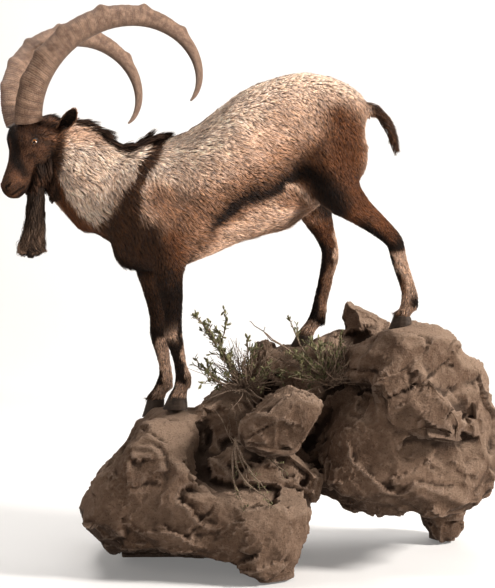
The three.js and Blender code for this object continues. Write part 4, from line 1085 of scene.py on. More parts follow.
def cover(roots, rng):
    """Lays a tuft on each root: its line, sizes and colour."""
    lie, long, wide, deep = hair_at(roots.points)
    count = len(roots.points)
    swirl = wavering(roots.points, 0.035, 8)[:, None] * 0.16
    twist = rng.normal(0, 0.2, count)[:, None] + swirl
    across = np.cross(roots.outward, lie)
    lie = unit(lie + across * twist)
    lie = unit(lie - roots.outward * np.sum(lie * roots.outward, 1)[:, None])
    long = long * rng.uniform(0.95, 1.6, count) * (1 + 0.2 * wavering(roots.points, 0.02, 9)) * MM
    rise = deep * rng.uniform(0.7, 1.2, count) * (1 + 0.15 * wavering(roots.points, 0.012, 10)) * MM
    lift = np.where(rng.random(count) < 0.2, 1.3, 0.62)
    path = laid(roots, lie, long, rise, 0.0008, 0.45, lift)
    path, clump, away = clumped(path, CLUMP_PULL * np.clip(long / 0.018, 0.4, 1), CLUMP, rng)
    half = wide * rng.uniform(0.22, 0.41, count) * MM
    colours = coat_colour(roots.points, roots.outward)
    light = np.sum(colours, 1)
    tone_and_clump_shade = rng.normal(1, 0.08, count) * rng.normal(1, 0.05, clump.max() + 1)[clump]
    # Tufts away from the middle of their clump are darker: painted shade between the clumps.
    tone_and_clump_shade *= 1.06 - 0.06 * np.clip(away, 0, 2)
    dark_tip = (rng.random(count) < 0.07 * ramp(0.6, 1.4, light)) * 0.35
    colours = colours * (tone_and_clump_shade * (1 - dark_tip))[:, None]
    colours += rng.normal(0, 0.02, count)[:, None] * np.array([1, 0.2, -0.6])
    return path, half, half * 0.45, colours


def coat_parts(points):
    """Which piece of the coat each root belongs to."""
    head = on_head(points)
    on_head_part = (head[:, 0] > -70) & (head[:, 2] > -150 + 0.35 * head[:, 0]) & (points[:, 0] < -0.55)
    share, _, near = leg_place(points)
    is_leg = (near > 0.3) & (share > 0.15)
    names = np.where(points[:, 1] < 0, "left", "right").astype(object)
    part = np.where(points[:, 0] < -0.38, "neck_", np.where(points[:, 0] < 0.0, "ribs_", "haunch_"))
    made = part.astype(object) + names
    made[is_leg & (points[:, 0] < 0)] = "forelegs"
    made[is_leg & (points[:, 0] > 0)] = "hind_legs"
    made[on_head_part] = "face"
    return made


def clear_of_eyes(points):
    """Whether each point lies outside the lids' edges."""
    clear = np.ones(len(points), bool)
    for side in (1, -1):
        centre, slit, high, out = eye_frame(side)
        local = (points - centre) @ np.array([slit, high, out]).T / MM
        clear &= (local[:, 0] / (SLIT_HALF + 2)) ** 2 + (local[:, 1] / (SLIT_HIGH + 2.5)) ** 2 > 1
    return clear


rng = np.random.default_rng(21)
roots = rooted(skin, COVER, coat_share, rng)
roots = roots.kept(clear_of_eyes(roots.points))
path, half, thick, colours = cover(roots, rng)
part = coat_parts(roots.points)
for name in sorted(set(part)):
    mine = part == name
    tufts("coat_" + name, roots.kept(mine), path[:, mine], half[mine], thick[mine], colours[mine])


# Eyes
# Glass eyes set in the sockets: an amber iris round a level slot of a pupil, in a dark white.
# Each is one ball with a bulge over the iris, coloured ring by ring.

IRIS_AMBER = (0.6, 0.37, 0.18)
IRIS_RIM = (0.1, 0.055, 0.03)
EYE_WHITE = (0.3, 0.2, 0.14)
PUPIL_BLACK = (0.008, 0.006, 0.006)
IRIS_HALF, PUPIL_HALF, PUPIL_HIGH = 9.6, 5.6, 2.6
glass = Finish("glass_eye", Roughness=0.06, Specular_IOR_Level=0.6, Coat_Weight=1.0, Coat_Roughness=0.03)
glass.set(Base_Color=glass.attribute("eye_colour", "Color"))

for side, name in ((1, "eye_left"), (-1, "eye_right")):
    centre, slit, high, out = eye_frame(side)
    gaze = unit(out + 0.1 * NOSE)
    slit = unit(slit - gaze * (slit @ gaze))
    axes = np.array([slit, np.cross(gaze, slit), gaze])
    turns = np.linspace(0, 2 * math.pi, 72, endpoint=False)
    tilts = np.concatenate([np.linspace(0.01, 0.8, 40), np.linspace(0.84, math.pi - 0.05, 26)])
    radius = EYEBALL * (1 + 0.05 * np.exp(-((tilts / 0.42) ** 2)))
    rings = np.stack(
        [
            np.outer(np.sin(tilts), np.cos(turns)),
            np.outer(np.sin(tilts), np.sin(turns)),
            np.outer(np.cos(tilts), np.ones(len(turns))),
        ],
        2,
    )
    local = rings * radius[:, None, None]
    points, faces = loft(centre + MM * local @ axes)
    eye = piece(name, points, faces)
    flat = (points - centre) @ axes.T / MM
    away = np.hypot(flat[:, 0], flat[:, 1])
    colour = np.tile(IRIS_AMBER, (len(flat), 1)) * (0.75 + 0.5 * ramp(3, 8, away))[:, None]
    grain = 0.85 + 0.15 * np.sin(np.arctan2(flat[:, 1], flat[:, 0]) * 23)
    colour = painted(colour * grain[:, None], IRIS_RIM, ramp(IRIS_HALF - 1.6, IRIS_HALF - 0.4, away))
    colour = painted(colour, EYE_WHITE, ramp(IRIS_HALF - 0.2, IRIS_HALF + 0.4, away))
    slot = np.maximum(np.abs(flat[:, 0]) / PUPIL_HALF, np.abs(flat[:, 1]) / PUPIL_HIGH)
    slot = slot + 0.2 * away / PUPIL_HALF
    colour = painted(colour, PUPIL_BLACK, ramp(1.15, 1.0, slot))
    colour[flat[:, 2] < 0] = EYE_WHITE
    set_colour(eye, "eye_colour", colour)
    eye.data.materials.append(glass.material)
    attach(eye, "root")
    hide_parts(name)

# Lids
# The bare, dark rims of the lids, which close each eye's slit. Each is a rounded edge along it,
# thicker at the inner corner.

LID_STEPS, LID_SIDES = 56, 8
lid_skin = Finish("lid_skin", Roughness=0.45, Specular_IOR_Level=0.4)
lid_skin.shader.inputs["Base Color"].default_value = (0.018, 0.011, 0.008, 1)
for side, name in ((1, "lid_left"), (-1, "lid_right")):
    centre, slit, high, out = eye_frame(side)
    turns = np.linspace(0, 2 * math.pi, LID_STEPS, endpoint=False)
    u = np.cos(turns)
    v = np.sign(np.sin(turns)) * np.abs(np.sin(turns)) ** 0.9
    x, y = u * (SLIT_HALF - 0.2), v * (SLIT_HIGH - 0.1) * (1 - np.abs(u) ** 2.2) ** 0.25 - 0.5
    z = np.sqrt(np.maximum((EYEBALL + 1.2) ** 2 - x**2 - y**2, 1))
    line = np.stack([x, y, z], 1)
    heading = unit(np.roll(line, -1, 0) - np.roll(line, 1, 0))
    outward = unit(line)
    across = np.cross(heading, outward)
    thick = 1.3 + 0.5 * np.clip(u, 0, 1) ** 4
    rings = []
    for turn in np.linspace(0, 2 * math.pi, LID_SIDES, endpoint=False):
        rings.append(line + (across * math.cos(turn) + outward * math.sin(turn)) * thick[:, None])
    rings = np.stack(rings, 1).reshape(-1, 3)
    faces = []
    for i in range(LID_STEPS):
        for j in range(LID_SIDES):
            a, b = i * LID_SIDES + j, i * LID_SIDES + (j + 1) % LID_SIDES
            faces.append((a, b, (b + LID_SIDES) % len(rings), (a + LID_SIDES) % len(rings)))
    lid = piece(name, centre + MM * rings @ np.array([slit, high, out]), faces)
    lid.data.materials.append(lid_skin.material)
    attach(lid, "root")

# Horns
# Two scimitar horns of grey-brown keratin over their bone cores: flattened side to side, with a
# sharp keel in front that rises into knobs, and fine growth rings all round. Each is one sweep.

HORN_ROOT_SPREAD = 31
HORNS = {
    "left": {"side": 1, "long": 909, "turn": (4.66, -5.16, 4.764), "splay": (0.45, -0.417)},
    "right": {"side": -1, "long": 921, "turn": (4.748, -5.16, 4.764), "splay": (0.339, -0.417)},
}
HORN_SHARES = [0, 0.12, 0.28, 0.42, 0.55, 0.68, 0.8, 0.9, 0.97, 1]
HORN_DEPTHS = [46, 43, 38.5, 36, 32.5, 27.5, 20.5, 13, 7.5, 3]
HORN_NARROWNESS = 0.57
KNOBS = [(0.13, 5), (0.22, 7), (0.32, 8), (0.46, 10), (0.6, 10), (0.74, 8)]
KNOB_LENGTH = 0.016
HORN_RINGS, HORN_SIDES = 720, 44


def horn_line(horn):
    """The horn's shares, places, headings and front directions, in the world."""
    shares = np.linspace(0, 1, HORN_RINGS)
    a, b, c = horn["turn"]
    turn = a * shares + b * shares**2 + c * shares**3
    out = horn["splay"][0] + horn["splay"][1] * shares
    side = horn["side"]
    heading = np.stack([-np.sin(turn) * np.cos(out), side * np.sin(out), np.cos(turn) * np.cos(out)], 1)
    front = np.stack([np.cos(turn), 0 * turn, np.sin(turn)], 1)
    front = unit(front - heading * np.sum(front * heading, 1)[:, None])
    steps = heading * horn["long"] / (HORN_RINGS - 1)
    line = np.cumsum(steps, 0) - steps + [0, side * HORN_ROOT_SPREAD, 0]
    axes = np.array([HEAD_FORE, HEAD_LEFT, CROWN])
    return shares, HEAD_ORIGIN + MM * line @ axes, heading @ axes, front @ axes


def horn_mesh(name, horn, seed):
    shares, line, heading, front = horn_line(horn)
    rng = np.random.default_rng(seed)
    aside = unit(np.cross(heading, front))
    angles = np.linspace(0, 2 * math.pi, HORN_SIDES, endpoint=False)
    u, v = np.cos(angles), np.sin(angles)
    deep = np.interp(shares, HORN_SHARES, HORN_DEPTHS)[:, None]
    wide = deep * HORN_NARROWNESS
    keel = np.where(u > 0, 1 - 0.42 * u**2, 1)
    rim = np.sign(v) * np.abs(v) ** np.where(u > 0.3, 1.25, 0.87) * keel
    along = shares[:, None] * horn["long"]
    wave = 5 * u[None] + 2.5 * np.sin(along / 31 + v * 2)
    worn = ramp(0.97, 0.6, shares)[:, None]
    spacing = 6.5 - 2.0 * shares[:, None]
    ripple = np.sin((along - wave) * 2 * math.pi / spacing + 1.3 * np.sin(along / 17))
    coarse = np.sin((along - wave) * 2 * math.pi / 23 + 2 * np.sin(along / 60 + seed))
    groove = (0.65 * ripple + 0.5 * coarse) * worn
    knob = sum(high * np.exp(-(((shares - at) / KNOB_LENGTH) ** 2)) for at, high in KNOBS)[:, None]
    knob = knob * (1 + 0.15 * rng.normal(size=(HORN_RINGS, 1)).cumsum(0) * 0.02)
    on_keel = ramp(0.55, 0.95, u)[None] * (1 + 0.25 * v[None])
    reach = deep * u[None] + knob * on_keel + 0.55 * groove * (0.4 + 0.9 * on_keel)
    spread = (wide + 0.55 * groove + 0.25 * knob * ramp(0, 0.8, u)[None]) * rim[None]
    rings = line[:, None] + MM * (front[:, None] * reach[..., None] + aside[:, None] * spread[..., None])
    points, faces = loft(rings)
    made = piece(name, points, faces)
    for key, values in (("along", along * MM), ("front", u), ("side", v), ("groove", groove)):
        values = np.broadcast_to(values, groove.shape).ravel()
        set_number(made, "horn_" + key, np.append(values, [0, 0]))  # the last two are the caps' middles
    return made


def horn_finish():
    made = Finish("horn_keratin", Specular_IOR_Level=0.4)
    parts = ("along", "front", "side", "groove")
    along, front, side, groove = (made.attribute("horn_" + part, "Fac") for part in parts)
    coords = made.start.node("ShaderNodeCombineXYZ", {}, {0: along * 9, 1: front * 0.25, 2: side * 0.25})
    cloud = made.noise(6, 4, 0.6, coords)
    lines = made.noise(60, 4, 0.65, coords)
    long_coords = made.start.node("ShaderNodeCombineXYZ", {}, {0: along * 2, 1: front * 3, 2: side * 3})
    fibre = made.noise(12, 3, 0.6, long_coords)
    base = cloud.between(0.35, 0.68).mixed((0.15, 0.078, 0.045), (0.31, 0.185, 0.118))
    layers = [
        (groove, -0.2, -1.0, 0.65, (0.07, 0.04, 0.025)),
        (front, -0.35, -0.95, 0.7, (0.09, 0.052, 0.033)),
        (front, 0.6, 0.95, 0.6, (0.12, 0.066, 0.042)),
        (along, 0.66, 0.86, 0.45, (0.12, 0.07, 0.045)),
    ]
    base = layered(base, layers).darkened(lines.between(0.3, 0.62) * 0.55 + fibre * 0.4 + 0.36)
    rough = cloud * 0.2 + 0.42
    relief = made.bump(lines + fibre * 0.5, 0.8, 0.002)
    return made.set(Base_Color=base, Roughness=rough, Normal=relief)


HORN_KERATIN = horn_finish()
for seed, (name, horn) in enumerate(HORNS.items()):
    made = horn_mesh("horn_" + name, horn, seed + 3)
    made.data.materials.append(HORN_KERATIN)
    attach(made, "root")
    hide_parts(*[f"horn_{name}_{part}" for part in ("root", "middle", "tip")])

# Beard
# The buck's long beard: coarse, dark, wavy hair from the chin and throat that flares at its foot,
# in fine locks over a darker core. A ruff of short, curly locks hangs from the jaw above it.

BEARD_LINE = np.array(
    [(-644, -45, 1205), (-645, -45, 1120), (-650, -46, 1050), (-660, -46, 985), (-664, -46, 945)]
)
BEARD_HALF = np.array([(27, 15), (27, 17), (30, 19), (40, 24), (42, 25)])
BEARD_CORE = (0.8, 0.74, 0.7, 0.6, 0.2)  # the core's share of that width
BEARD_BLACK = (0.15, 0.11, 0.085)
BEARD_GREY = (0.5, 0.4, 0.33)
BEARD_HAIRS, RUFF_HAIRS = 3200, 1800
BEARD_LOCK, RUFF_LOCK = (0.62, 34), (0.75, 14)  # how far the tips draw together, hairs in a lock


def on_rows(t, knots, table):
    """Rows of a table read between its knots."""
    return np.stack([np.interp(t, knots, column) for column in table.T], 1)


def beard_flat(points):
    """The beard's own place on the flat map: round it and down it, in a free corner."""
    turn = np.arctan2(points[:, 1] + 0.046, points[:, 0] + 0.65) / (2 * math.pi) + 0.5
    return np.stack([turn * 0.9 + 0.05, (1.2 - points[:, 2]) / 0.3 * 0.9 + 0.05], 1)


def beard_mesh():
    """Strands laid down the beard, drawn into wavy locks that end raggedly round a bulb."""
    rng = np.random.default_rng(31)
    count = BEARD_HAIRS
    start = rng.random(count) ** 1.1 * 0.85
    turn = rng.random(count) * 2 * math.pi
    radius = np.sqrt(rng.random(count)) * 0.5 + 0.5
    down = np.linspace(0, 1, len(BEARD_LINE))
    end = np.minimum(start + rng.uniform(0.16, 0.36, count), 1.06 - np.abs(rng.normal(0, 0.11, count)))
    end -= 0.09 * radius**2 * ramp(0.85, 1, end)
    start = np.minimum(start, end - 0.08)
    steps = 7
    path = np.empty((steps, count, 3))
    wave, phase = rng.uniform(4, 10, count), rng.random(count) * 6.3
    for k in range(steps):
        t = start + (end - start) * k / (steps - 1)
        centre = on_rows(t, down, BEARD_LINE)
        centre[:, 2] -= np.maximum(t - 1, 0) * 260
        half = on_rows(t, down, BEARD_HALF)
        flare = radius * (0.84 + 0.2 * k / (steps - 1)) * (1 - 0.45 * ramp(0.86, 1.04, t))
        sway = wave * (0.4 + t) * np.sin(phase + 26 * t)
        centre[:, 0] += half[:, 0] * np.cos(turn) * flare + sway
        centre[:, 1] += half[:, 1] * np.sin(turn) * flare + 0.6 * sway
        path[k] = centre * MM
    path, lock, _ = clumped(path, *BEARD_LOCK, rng)
    outward = np.stack([np.cos(turn), np.sin(turn), 0 * turn], 1)
    half = rng.uniform(1.0, 2.1, count) * MM
    foot = ramp(0.45, 0.95, end)
    pale = rng.random(lock.max() + 1)[lock]
    grey = np.clip(0.15 + 0.95 * foot * pale + 0.2 * (rng.random(count) > 0.8), 0, 1)
    colours = painted(np.tile(BEARD_BLACK, (count, 1)), BEARD_GREY, grey)
    colours *= rng.normal(1, 0.15, count)[:, None]
    roots = Roots(path[0], outward, beard_flat(path[0]))
    return tufts("beard_hair", roots, path, half, half * 0.6, colours)


def ruff_mesh():
    """Curly locks that hang from the jaw's rear and the throat, over the beard's root."""
    rng = np.random.default_rng(37)
    points, outward = places(skin), normals(skin)
    nose, left, brow = on_head(points).T
    on_jaw = (nose > 88) & (nose < 205) & (np.abs(left) < 52)
    on_jaw &= (brow < -44 - 0.1 * (nose - 100)) & (brow > -150)
    chosen = rng.choice(np.flatnonzero(on_jaw), RUFF_HAIRS)
    root, away = points[chosen] + rng.normal(0, 0.002, (RUFF_HAIRS, 3)), outward[chosen]
    long = rng.uniform(24, 46, RUFF_HAIRS) * ramp(210, 170, nose[chosen])
    phase = rng.random((RUFF_HAIRS, 2)) * 6.3
    steps = 6
    path = np.empty((steps, RUFF_HAIRS, 3))
    for k in range(steps):
        s = k / (steps - 1)
        curl = 3.2 * s * np.sin(phase + 7 * s)
        path[k] = root + MM * away * (3 + 9 * s * (1 - 0.6 * s))
        path[k] += MM * (long * s)[:, None] * unit(np.array([0.25, 0, -1]))
        path[k][:, :2] += MM * curl
    path, lock, _ = clumped(path, *RUFF_LOCK, rng)
    half = rng.uniform(1.0, 2.0, RUFF_HAIRS) * MM
    colours = painted(np.tile(BEARD_BLACK, (RUFF_HAIRS, 1)), FACE_BROWN, rng.random(lock.max() + 1)[lock])
    colours *= rng.normal(1, 0.12, RUFF_HAIRS)[:, None]
    roots = Roots(path[0], away, beard_flat(path[0]))
    return tufts("jaw_ruff", roots, path, half, half * 0.6, colours)


ruff = ruff_mesh()
beard = beard_mesh()
beard_rows = [[*at, a * k, b * k] for at, (a, b), k in zip(BEARD_LINE, BEARD_HALF, BEARD_CORE)]
beard_core = piece("beard_core", *tube(beard_rows, 24, 2.0))
set_colour(beard_core, HAIR_COLOUR, np.tile(BEARD_BLACK, (len(beard_core.data.vertices), 1)))
beard_core.data.materials.append(HIDE)
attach(beard_core, "root")
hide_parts("beard")

# Mane
# A crest of stiff black hair from behind the horns down the nape and up over the withers, and a
# thin raised line of it along the back. It stands in long locks rooted along the middle line.

MANE_LINE = np.array(
    [(-596, 8, 1368), (-547, 8, 1367), (-504, 5, 1361), (-460, 2, 1341), (-424, 1, 1311), (-395, 0, 1292)]
    + [(-360, 0, 1289), (-316, 0, 1299), (-284, 0, 1303), (-254, 0, 1308), (-183, 0, 1333), (-109, 0, 1384)]
    + [(-29, 0, 1445), (63, 0, 1485), (120, 0, 1500)]
)
MANE_LONG = [34, 42, 46, 48, 44, 44, 58, 74, 56, 30, 24, 22, 20, 18, 10]
MANE_HALF = [24, 24, 26, 30, 30, 34, 40, 38, 22, 9, 8, 7, 7, 7, 6]
MANE_STAND = [0.5, 0.6, 0.55, 0.5, 0.45, 0.5, 0.62, 0.72, 0.62, 0.5, 0.5, 0.5, 0.5, 0.4, 0.3]
MANE_HAIRS = 5200
MANE_LOCK = (0.75, 34)
MANE_PALE = [0.0] * 9 + [0.3] + [0.5] * 5
NAPE_ROUND = 85.0  # the nape falls away to the sides as a circle of this radius does


def mane_mesh():
    """Hairs rooted along the middle line, lying back, drawn into pointed locks."""
    rng = np.random.default_rng(41)
    knots = np.arange(len(MANE_LINE))
    t = (np.arange(MANE_HAIRS) + rng.random(MANE_HAIRS)) / MANE_HAIRS * knots[-1]
    t = t[rng.random(MANE_HAIRS) < np.interp(t, knots, MANE_HALF) / 34]
    at, ahead = on_rows(t, knots, MANE_LINE), on_rows(t + 0.1, knots, MANE_LINE)
    run = unit(ahead - at + 1e-6)
    count = len(t)
    off = rng.normal(0, 0.5, count) * np.interp(t, knots, MANE_HALF)
    drop = off**2 / (2 * NAPE_ROUND)
    root = at + np.stack([0 * off, off, -drop - 7], 1)
    outward = unit(np.stack([-run[:, 2] * 0.9, off / 60, 1.0 + 0 * off], 1))
    long = np.interp(t, knots, MANE_LONG) * rng.uniform(0.55, 1.45, count)
    stand = np.interp(t, knots, MANE_STAND) * rng.uniform(0.6, 1.3, count)
    heading = unit(run + outward * stand[:, None] + rng.normal(0, 0.13, (count, 3)))
    bend = np.array([0.25, 0, -0.55]) * rng.uniform(0.6, 1.4, count)[:, None]
    steps = 5
    path = np.empty((steps, count, 3))
    for k in range(steps):
        s = k / (steps - 1)
        path[k] = (root + (long * s)[:, None] * heading + (long * s * s * 0.5)[:, None] * bend) * MM
    path, lock, _ = clumped(path, *MANE_LOCK, rng)
    brown = 0.4 * (rng.random(count) + rng.random(lock.max() + 1)[lock])
    colours = painted(np.tile(SABLE, (count, 1)), UMBER, brown)
    pale = np.clip(rng.normal(0, 0.2, count), 0, 0.5) + np.interp(t, knots, MANE_PALE)
    colours = painted(colours, FAWN, pale)
    half = rng.uniform(1.1, 2.2, count) * MM
    flat = np.stack([0.02 + 0.96 * t / knots[-1], 0.5 + off / 400], 1)
    return tufts("mane", Roots(path[0], outward, flat), path, half, half * 0.5, colours, 0.25)


mane = mane_mesh()

# Rock base
# The moulded rock the buck stands on: one cast of weathered, warm grey-brown boulders. The packed
# rocks are remeshed as one, flat breaks are knocked off them, and joints, beds and grain cut in.

ROCKS = sorted(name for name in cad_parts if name.startswith("base_"))
ROCK_VOXEL = 0.0078
HOOF_NODES = sorted(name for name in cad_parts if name.startswith("hoof_"))
ROCK_FILLING = (np.array([0.6, -0.11, 0.573]), 0.075)  # behind the gap under the top slab
SEAM_FILL = 0.006  # seams narrower than twice this are filled
# The flat faces that the rock breaks into, large, middling and small: how many, how far they
# move the surface in millimetres, and how unevenly they lean.
FACES = [(230, 19, 0.26), (700, 7, 0.22), (4500, 1.6, 0.25)]
JOINTS = 36  # cracks that run in flat sheets through the rock
JOINT_REACH = (60, 210)
JOINT_WIDE, JOINT_DEEP = 2.6, 8.0
BED_UP = unit([-0.42, -0.2, 0.89])  # the beds' upward direction
BED_AXIS = Vector(BED_UP)
FACE_STRETCH = np.array([0.75, 1.0, 1.15])  # the faces are longer along X than they are high
ROCK_LIT_FACING = np.array([0.45, -0.1, 0.9])  # faces turned this way, up and to the right, are painted lit; faces turned away are painted in shade
ROUGH_HIGH, PIT_HIGH, BED_HIGH = 0.0026, 0.0012, 0.0016  # the grain's three kinds of relief


def edge_ends(obj):
    ends = np.empty(len(obj.data.edges) * 2, np.int32)
    obj.data.edges.foreach_get("vertices", ends)
    return ends.reshape(-1, 2)


def relaxed(points, ends, times):
    """Points moved towards their neighbours' middle, over and over."""
    both = np.concatenate([ends, ends[:, ::-1]])
    count = np.maximum(np.bincount(both[:, 0], minlength=len(points)), 1)[:, None]
    made = points.copy()
    for _ in range(times):
        near = [np.bincount(both[:, 0], made[both[:, 1], axis], len(points)) for axis in range(3)]
        made = 0.5 * made + 0.5 * np.stack(near, 1) / count
    return made


def faceted(points, outward, count, most, uneven, rng):
    """The surface broken to flat faces: each point goes to the lowest of the four nearest planes."""
    sites = rng.choice(len(points), count, replace=False)
    at, out = points[sites], outward[sites]
    lean = unit(out + rng.normal(0, uneven, (count, 3)))
    made = np.empty(points.shape)
    tree = tree_of(at * FACE_STRETCH)
    for i, place in enumerate(points * FACE_STRETCH):
        near = [found[1] for found in tree.find_n(place, 4)]
        turned = lean[near] @ outward[i]
        lift = np.sum((at[near] - points[i]) * lean[near], 1) / np.maximum(turned, 0.4)
        lift[turned < 0.4] = 1.0
        made[i] = points[i] + outward[i] * min(max(lift.min(), -most * MM), 0.5 * most * MM)
    return made


def joint_depth(points, rng):
    """How deep the cracks lie at some points, from 0 to 1."""
    sets = [BED_UP, unit([0.75, 0.35, 0.56]), unit([0.86, -0.5, -0.1]), unit([0.2, 0.9, -0.3])]
    bent = wander(points, 0.07, 0.006, 14)
    bent = wander(bent, 0.018, 0.0016, 15)
    deep = np.zeros(len(points))
    for at in rng.integers(0, len(points), JOINTS):
        sheet = unit(sets[rng.integers(len(sets))] + rng.normal(0, 0.14, 3))
        reach = rng.uniform(*JOINT_REACH) * MM
        off = bent - bent[at]
        gap = np.linalg.norm(off, axis=1)
        fade = 1 - ramp(0.5 * reach, reach, gap)
        wide = JOINT_WIDE * MM * (0.5 + fade)
        deep = np.maximum(deep, np.exp(-(((off @ sheet) / wide) ** 2)) * fade)
    return deep


def grain_height(points):
    """Coarse weathering of the surface in metres: pits, beds and lumps."""
    height = np.empty(len(points))
    for i, p in enumerate(points):
        place = Vector(p)
        rough = noise.ridged_multi_fractal(place * 15, 0.7, 2.3, 6, 1.0, 2.0) - 1.1
        pits = noise.noise(place * 70)
        bed = noise.noise(Vector((place.x * 4, place.y * 4, place.dot(BED_AXIS) * 70)))
        height[i] = ROUGH_HIGH * rough + PIT_HIGH * pits + BED_HIGH * bed
    return height


def rock_mesh():
    rng = np.random.default_rng(23)
    rock = joined("rock_base", [node_arrays(name, 0.0006) for name in ROCKS] + [ball(*ROCK_FILLING)])
    evaluated(rock, ("REMESH", {"mode": "VOXEL", "voxel_size": 2 * ROCK_VOXEL}))
    move_to(rock, places(rock) + normals(rock) * SEAM_FILL)
    evaluated(rock, ("REMESH", {"mode": "VOXEL", "voxel_size": ROCK_VOXEL}))
    move_to(rock, places(rock) - normals(rock) * SEAM_FILL)
    evaluated(rock, ("SMOOTH", {"factor": 0.5, "iterations": 3}))
    start, outward, ends = places(rock), normals(rock), edge_ends(rock)
    free = np.ones(len(start))
    for name in HOOF_NODES:
        seat = np.array(sum(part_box(name), Vector()) / 2)
        free *= ramp(0.03, 0.08, np.linalg.norm(start - seat, axis=1))
    flat_side = unit(relaxed(outward, ends, 12))
    points = start
    for count, most, uneven in FACES:
        points = faceted(points, flat_side, count, most, uneven, rng)
    joints = joint_depth(points, rng)
    points -= flat_side * (joints * JOINT_DEEP * MM)[:, None]
    points += flat_side * grain_height(points)[:, None]
    points = start + (points - start) * free[:, None]
    points[:, 2] = np.maximum(points[:, 2], 0.0)
    points[start[:, 2] < 0.004, 2] = 0.0
    move_to(rock, points)
    # How far each point lies below its smoothed surround, with the joints added: painted shade in the
    # hollows, and darker joints.
    sunk = np.sum((relaxed(points, ends, 24) - points) * normals(rock), 1)
    set_number(rock, "rock_hollow", sunk + 0.003 * joints)
    set_number(rock, "rock_edge", np.sum((relaxed(points, ends, 3) - points) * normals(rock), 1))
    # How far each face turns up and to the right: the more it turns, the lighter it is painted, and faces
    # turned away are painted in shade.
    set_number(rock, "rock_open", relaxed(normals(rock), ends, 2) @ ROCK_LIT_FACING)
    return rock


def rock_finish():
    made = Finish("weathered_rock", Roughness=0.95, Specular_IOR_Level=0.15)
    broad = made.noise(3.6, 4, 0.55)
    grain = made.noise(42, 6, 0.72)
    fine = made.noise(190, 5, 0.75)
    hollow, edge, lit_facing_share = (made.attribute("rock_" + part, "Fac") for part in ("hollow", "edge", "open"))
    layers = [
        # Painted light on faces turned up and to the right, painted shade on faces turned away.
        (lit_facing_share, 0.15, 0.85, 0.65, (0.42, 0.29, 0.205)),
        (lit_facing_share, -0.1, -0.7, 0.85, (0.045, 0.026, 0.017)),
        (grain, 0.46, 0.74, 0.35, (0.4, 0.275, 0.2)),
        (edge, -0.0004, -0.002, 0.2, (0.5, 0.37, 0.285)),
        # Painted shade in the hollows, and the joints darkened.
        (hollow, 0.001, 0.008, 0.8, (0.035, 0.021, 0.015)),
        (fine, 0.52, 0.66, 0.55, (0.035, 0.022, 0.015)),
    ]
    base = broad.between(0.35, 0.65).mixed((0.13, 0.075, 0.047), (0.24, 0.15, 0.1))
    colour = layered(base, layers)
    relief = made.bump(grain * 0.7 + fine * 0.6, 1.0, 0.022)
    return made.set(Base_Color=colour, Normal=relief)


rock = rock_mesh()
rock.data.materials.append(rock_finish())
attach(rock, "root")
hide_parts(*ROCKS)

# Ears
# Short, pointed ears, each a leaf of gristle rolled into a cup that opens forwards: tan behind,
# near black inside, with short hair over both faces.

EAR_LONG, EAR_THICK, EAR_BASE, EAR_OUT = 108, 4.2, (2, -96), 54
# Up the ear: how far, the cup's radius, and how far round it closes to each side in degrees.
EAR_ROWS = [(-16, 13, 150), (8, 15.5, 140), (26, 18, 122), (46, 20.5, 100)]
EAR_ROWS += [(66, 20.5, 86), (84, 17, 76), (98, 11, 66), (108, 3, 50)]
EAR_TAN = (0.52, 0.38, 0.29)
EAR_DARK = (0.07, 0.045, 0.03)
EAR_TUFTS = 3400


def ear_axes(side):
    """The ear's way up, the way it opens and the way across it."""
    along = unit(side * 0.84 * HEAD_LEFT + 0.42 * CROWN - 0.3 * HEAD_FORE)
    opening = HEAD_FORE + side * 0.25 * HEAD_LEFT - 0.2 * CROWN
    opening = unit(opening - along * (opening @ along))
    return along, opening, np.cross(along, opening)


def ear_mesh(name, side):
    along, opening, across = ear_axes(side)
    rows = smooth_rows(EAR_ROWS, 5)
    rows[:, 0] = np.minimum(rows[:, 0], EAR_LONG)
    root = head_point(EAR_BASE[0], side * EAR_OUT, EAR_BASE[1])
    across_steps = 15
    rings, inner = [], []
    for reach, radius, half in rows:
        thick = min(EAR_THICK, radius * 0.5)
        centre = root + MM * (along * reach + opening * 0.0016 * reach * reach)
        angles = np.radians(np.linspace(-half, half, across_steps))
        thin = 1 - 0.55 * np.abs(np.linspace(-1, 1, across_steps)) ** 3
        sheets = []
        for deep in (radius, radius - thick * thin):
            bow = np.outer(-deep * np.cos(angles), opening) + np.outer(deep * np.sin(angles), across)
            sheets.append(centre + MM * bow)
        rings.append(np.vstack([sheets[0], sheets[1][::-1]]))
        inner.append(np.r_[np.zeros(across_steps), np.ones(across_steps)])
    points, faces = loft(rings)
    made = piece(name, points, faces)
    is_inner = np.append(np.concatenate(inner), [1, 1])
    reach = np.repeat(rows[:, 0], across_steps * 2)
    shade = painted(np.tile(EAR_TAN, (len(points), 1)), EAR_DARK, is_inner)
    tip_dark = ramp(80, 108, np.append(reach, [0, 108]))
    shade = painted(shade, UMBER, 0.5 * tip_dark * (1 - is_inner))
    set_colour(made, HAIR_COLOUR, shade)
    made.data.materials.append(HIDE)
    return made, along, opening


def ear_hair(name, ear, along, opening, seed):
    rng, count = np.random.default_rng(seed), EAR_TUFTS
    roots = rooted(ear, count, lambda points: np.ones(len(points)), rng)
    inside = np.sum(roots.outward * opening, 1)
    lie = unit(along + 0.16 * rng.normal(size=(count, 3)))
    lie = unit(lie - roots.outward * (0.85 * np.sum(lie * roots.outward, 1))[:, None])
    long = rng.uniform(7, 13, count) * MM
    rise = rng.uniform(1.2, 3, count) * MM
    path = laid(roots, lie, long, rise, 0.0006, 0.4, 1)
    colours = painted(np.tile(EAR_TAN, (count, 1)), EAR_DARK, ramp(0.05, 0.4, inside))
    colours = colours * rng.normal(1, 0.2, count)[:, None]
    half = rng.uniform(0.8, 1.4, count) * MM
    return tufts(name, roots, path, half, half * 0.45, colours)


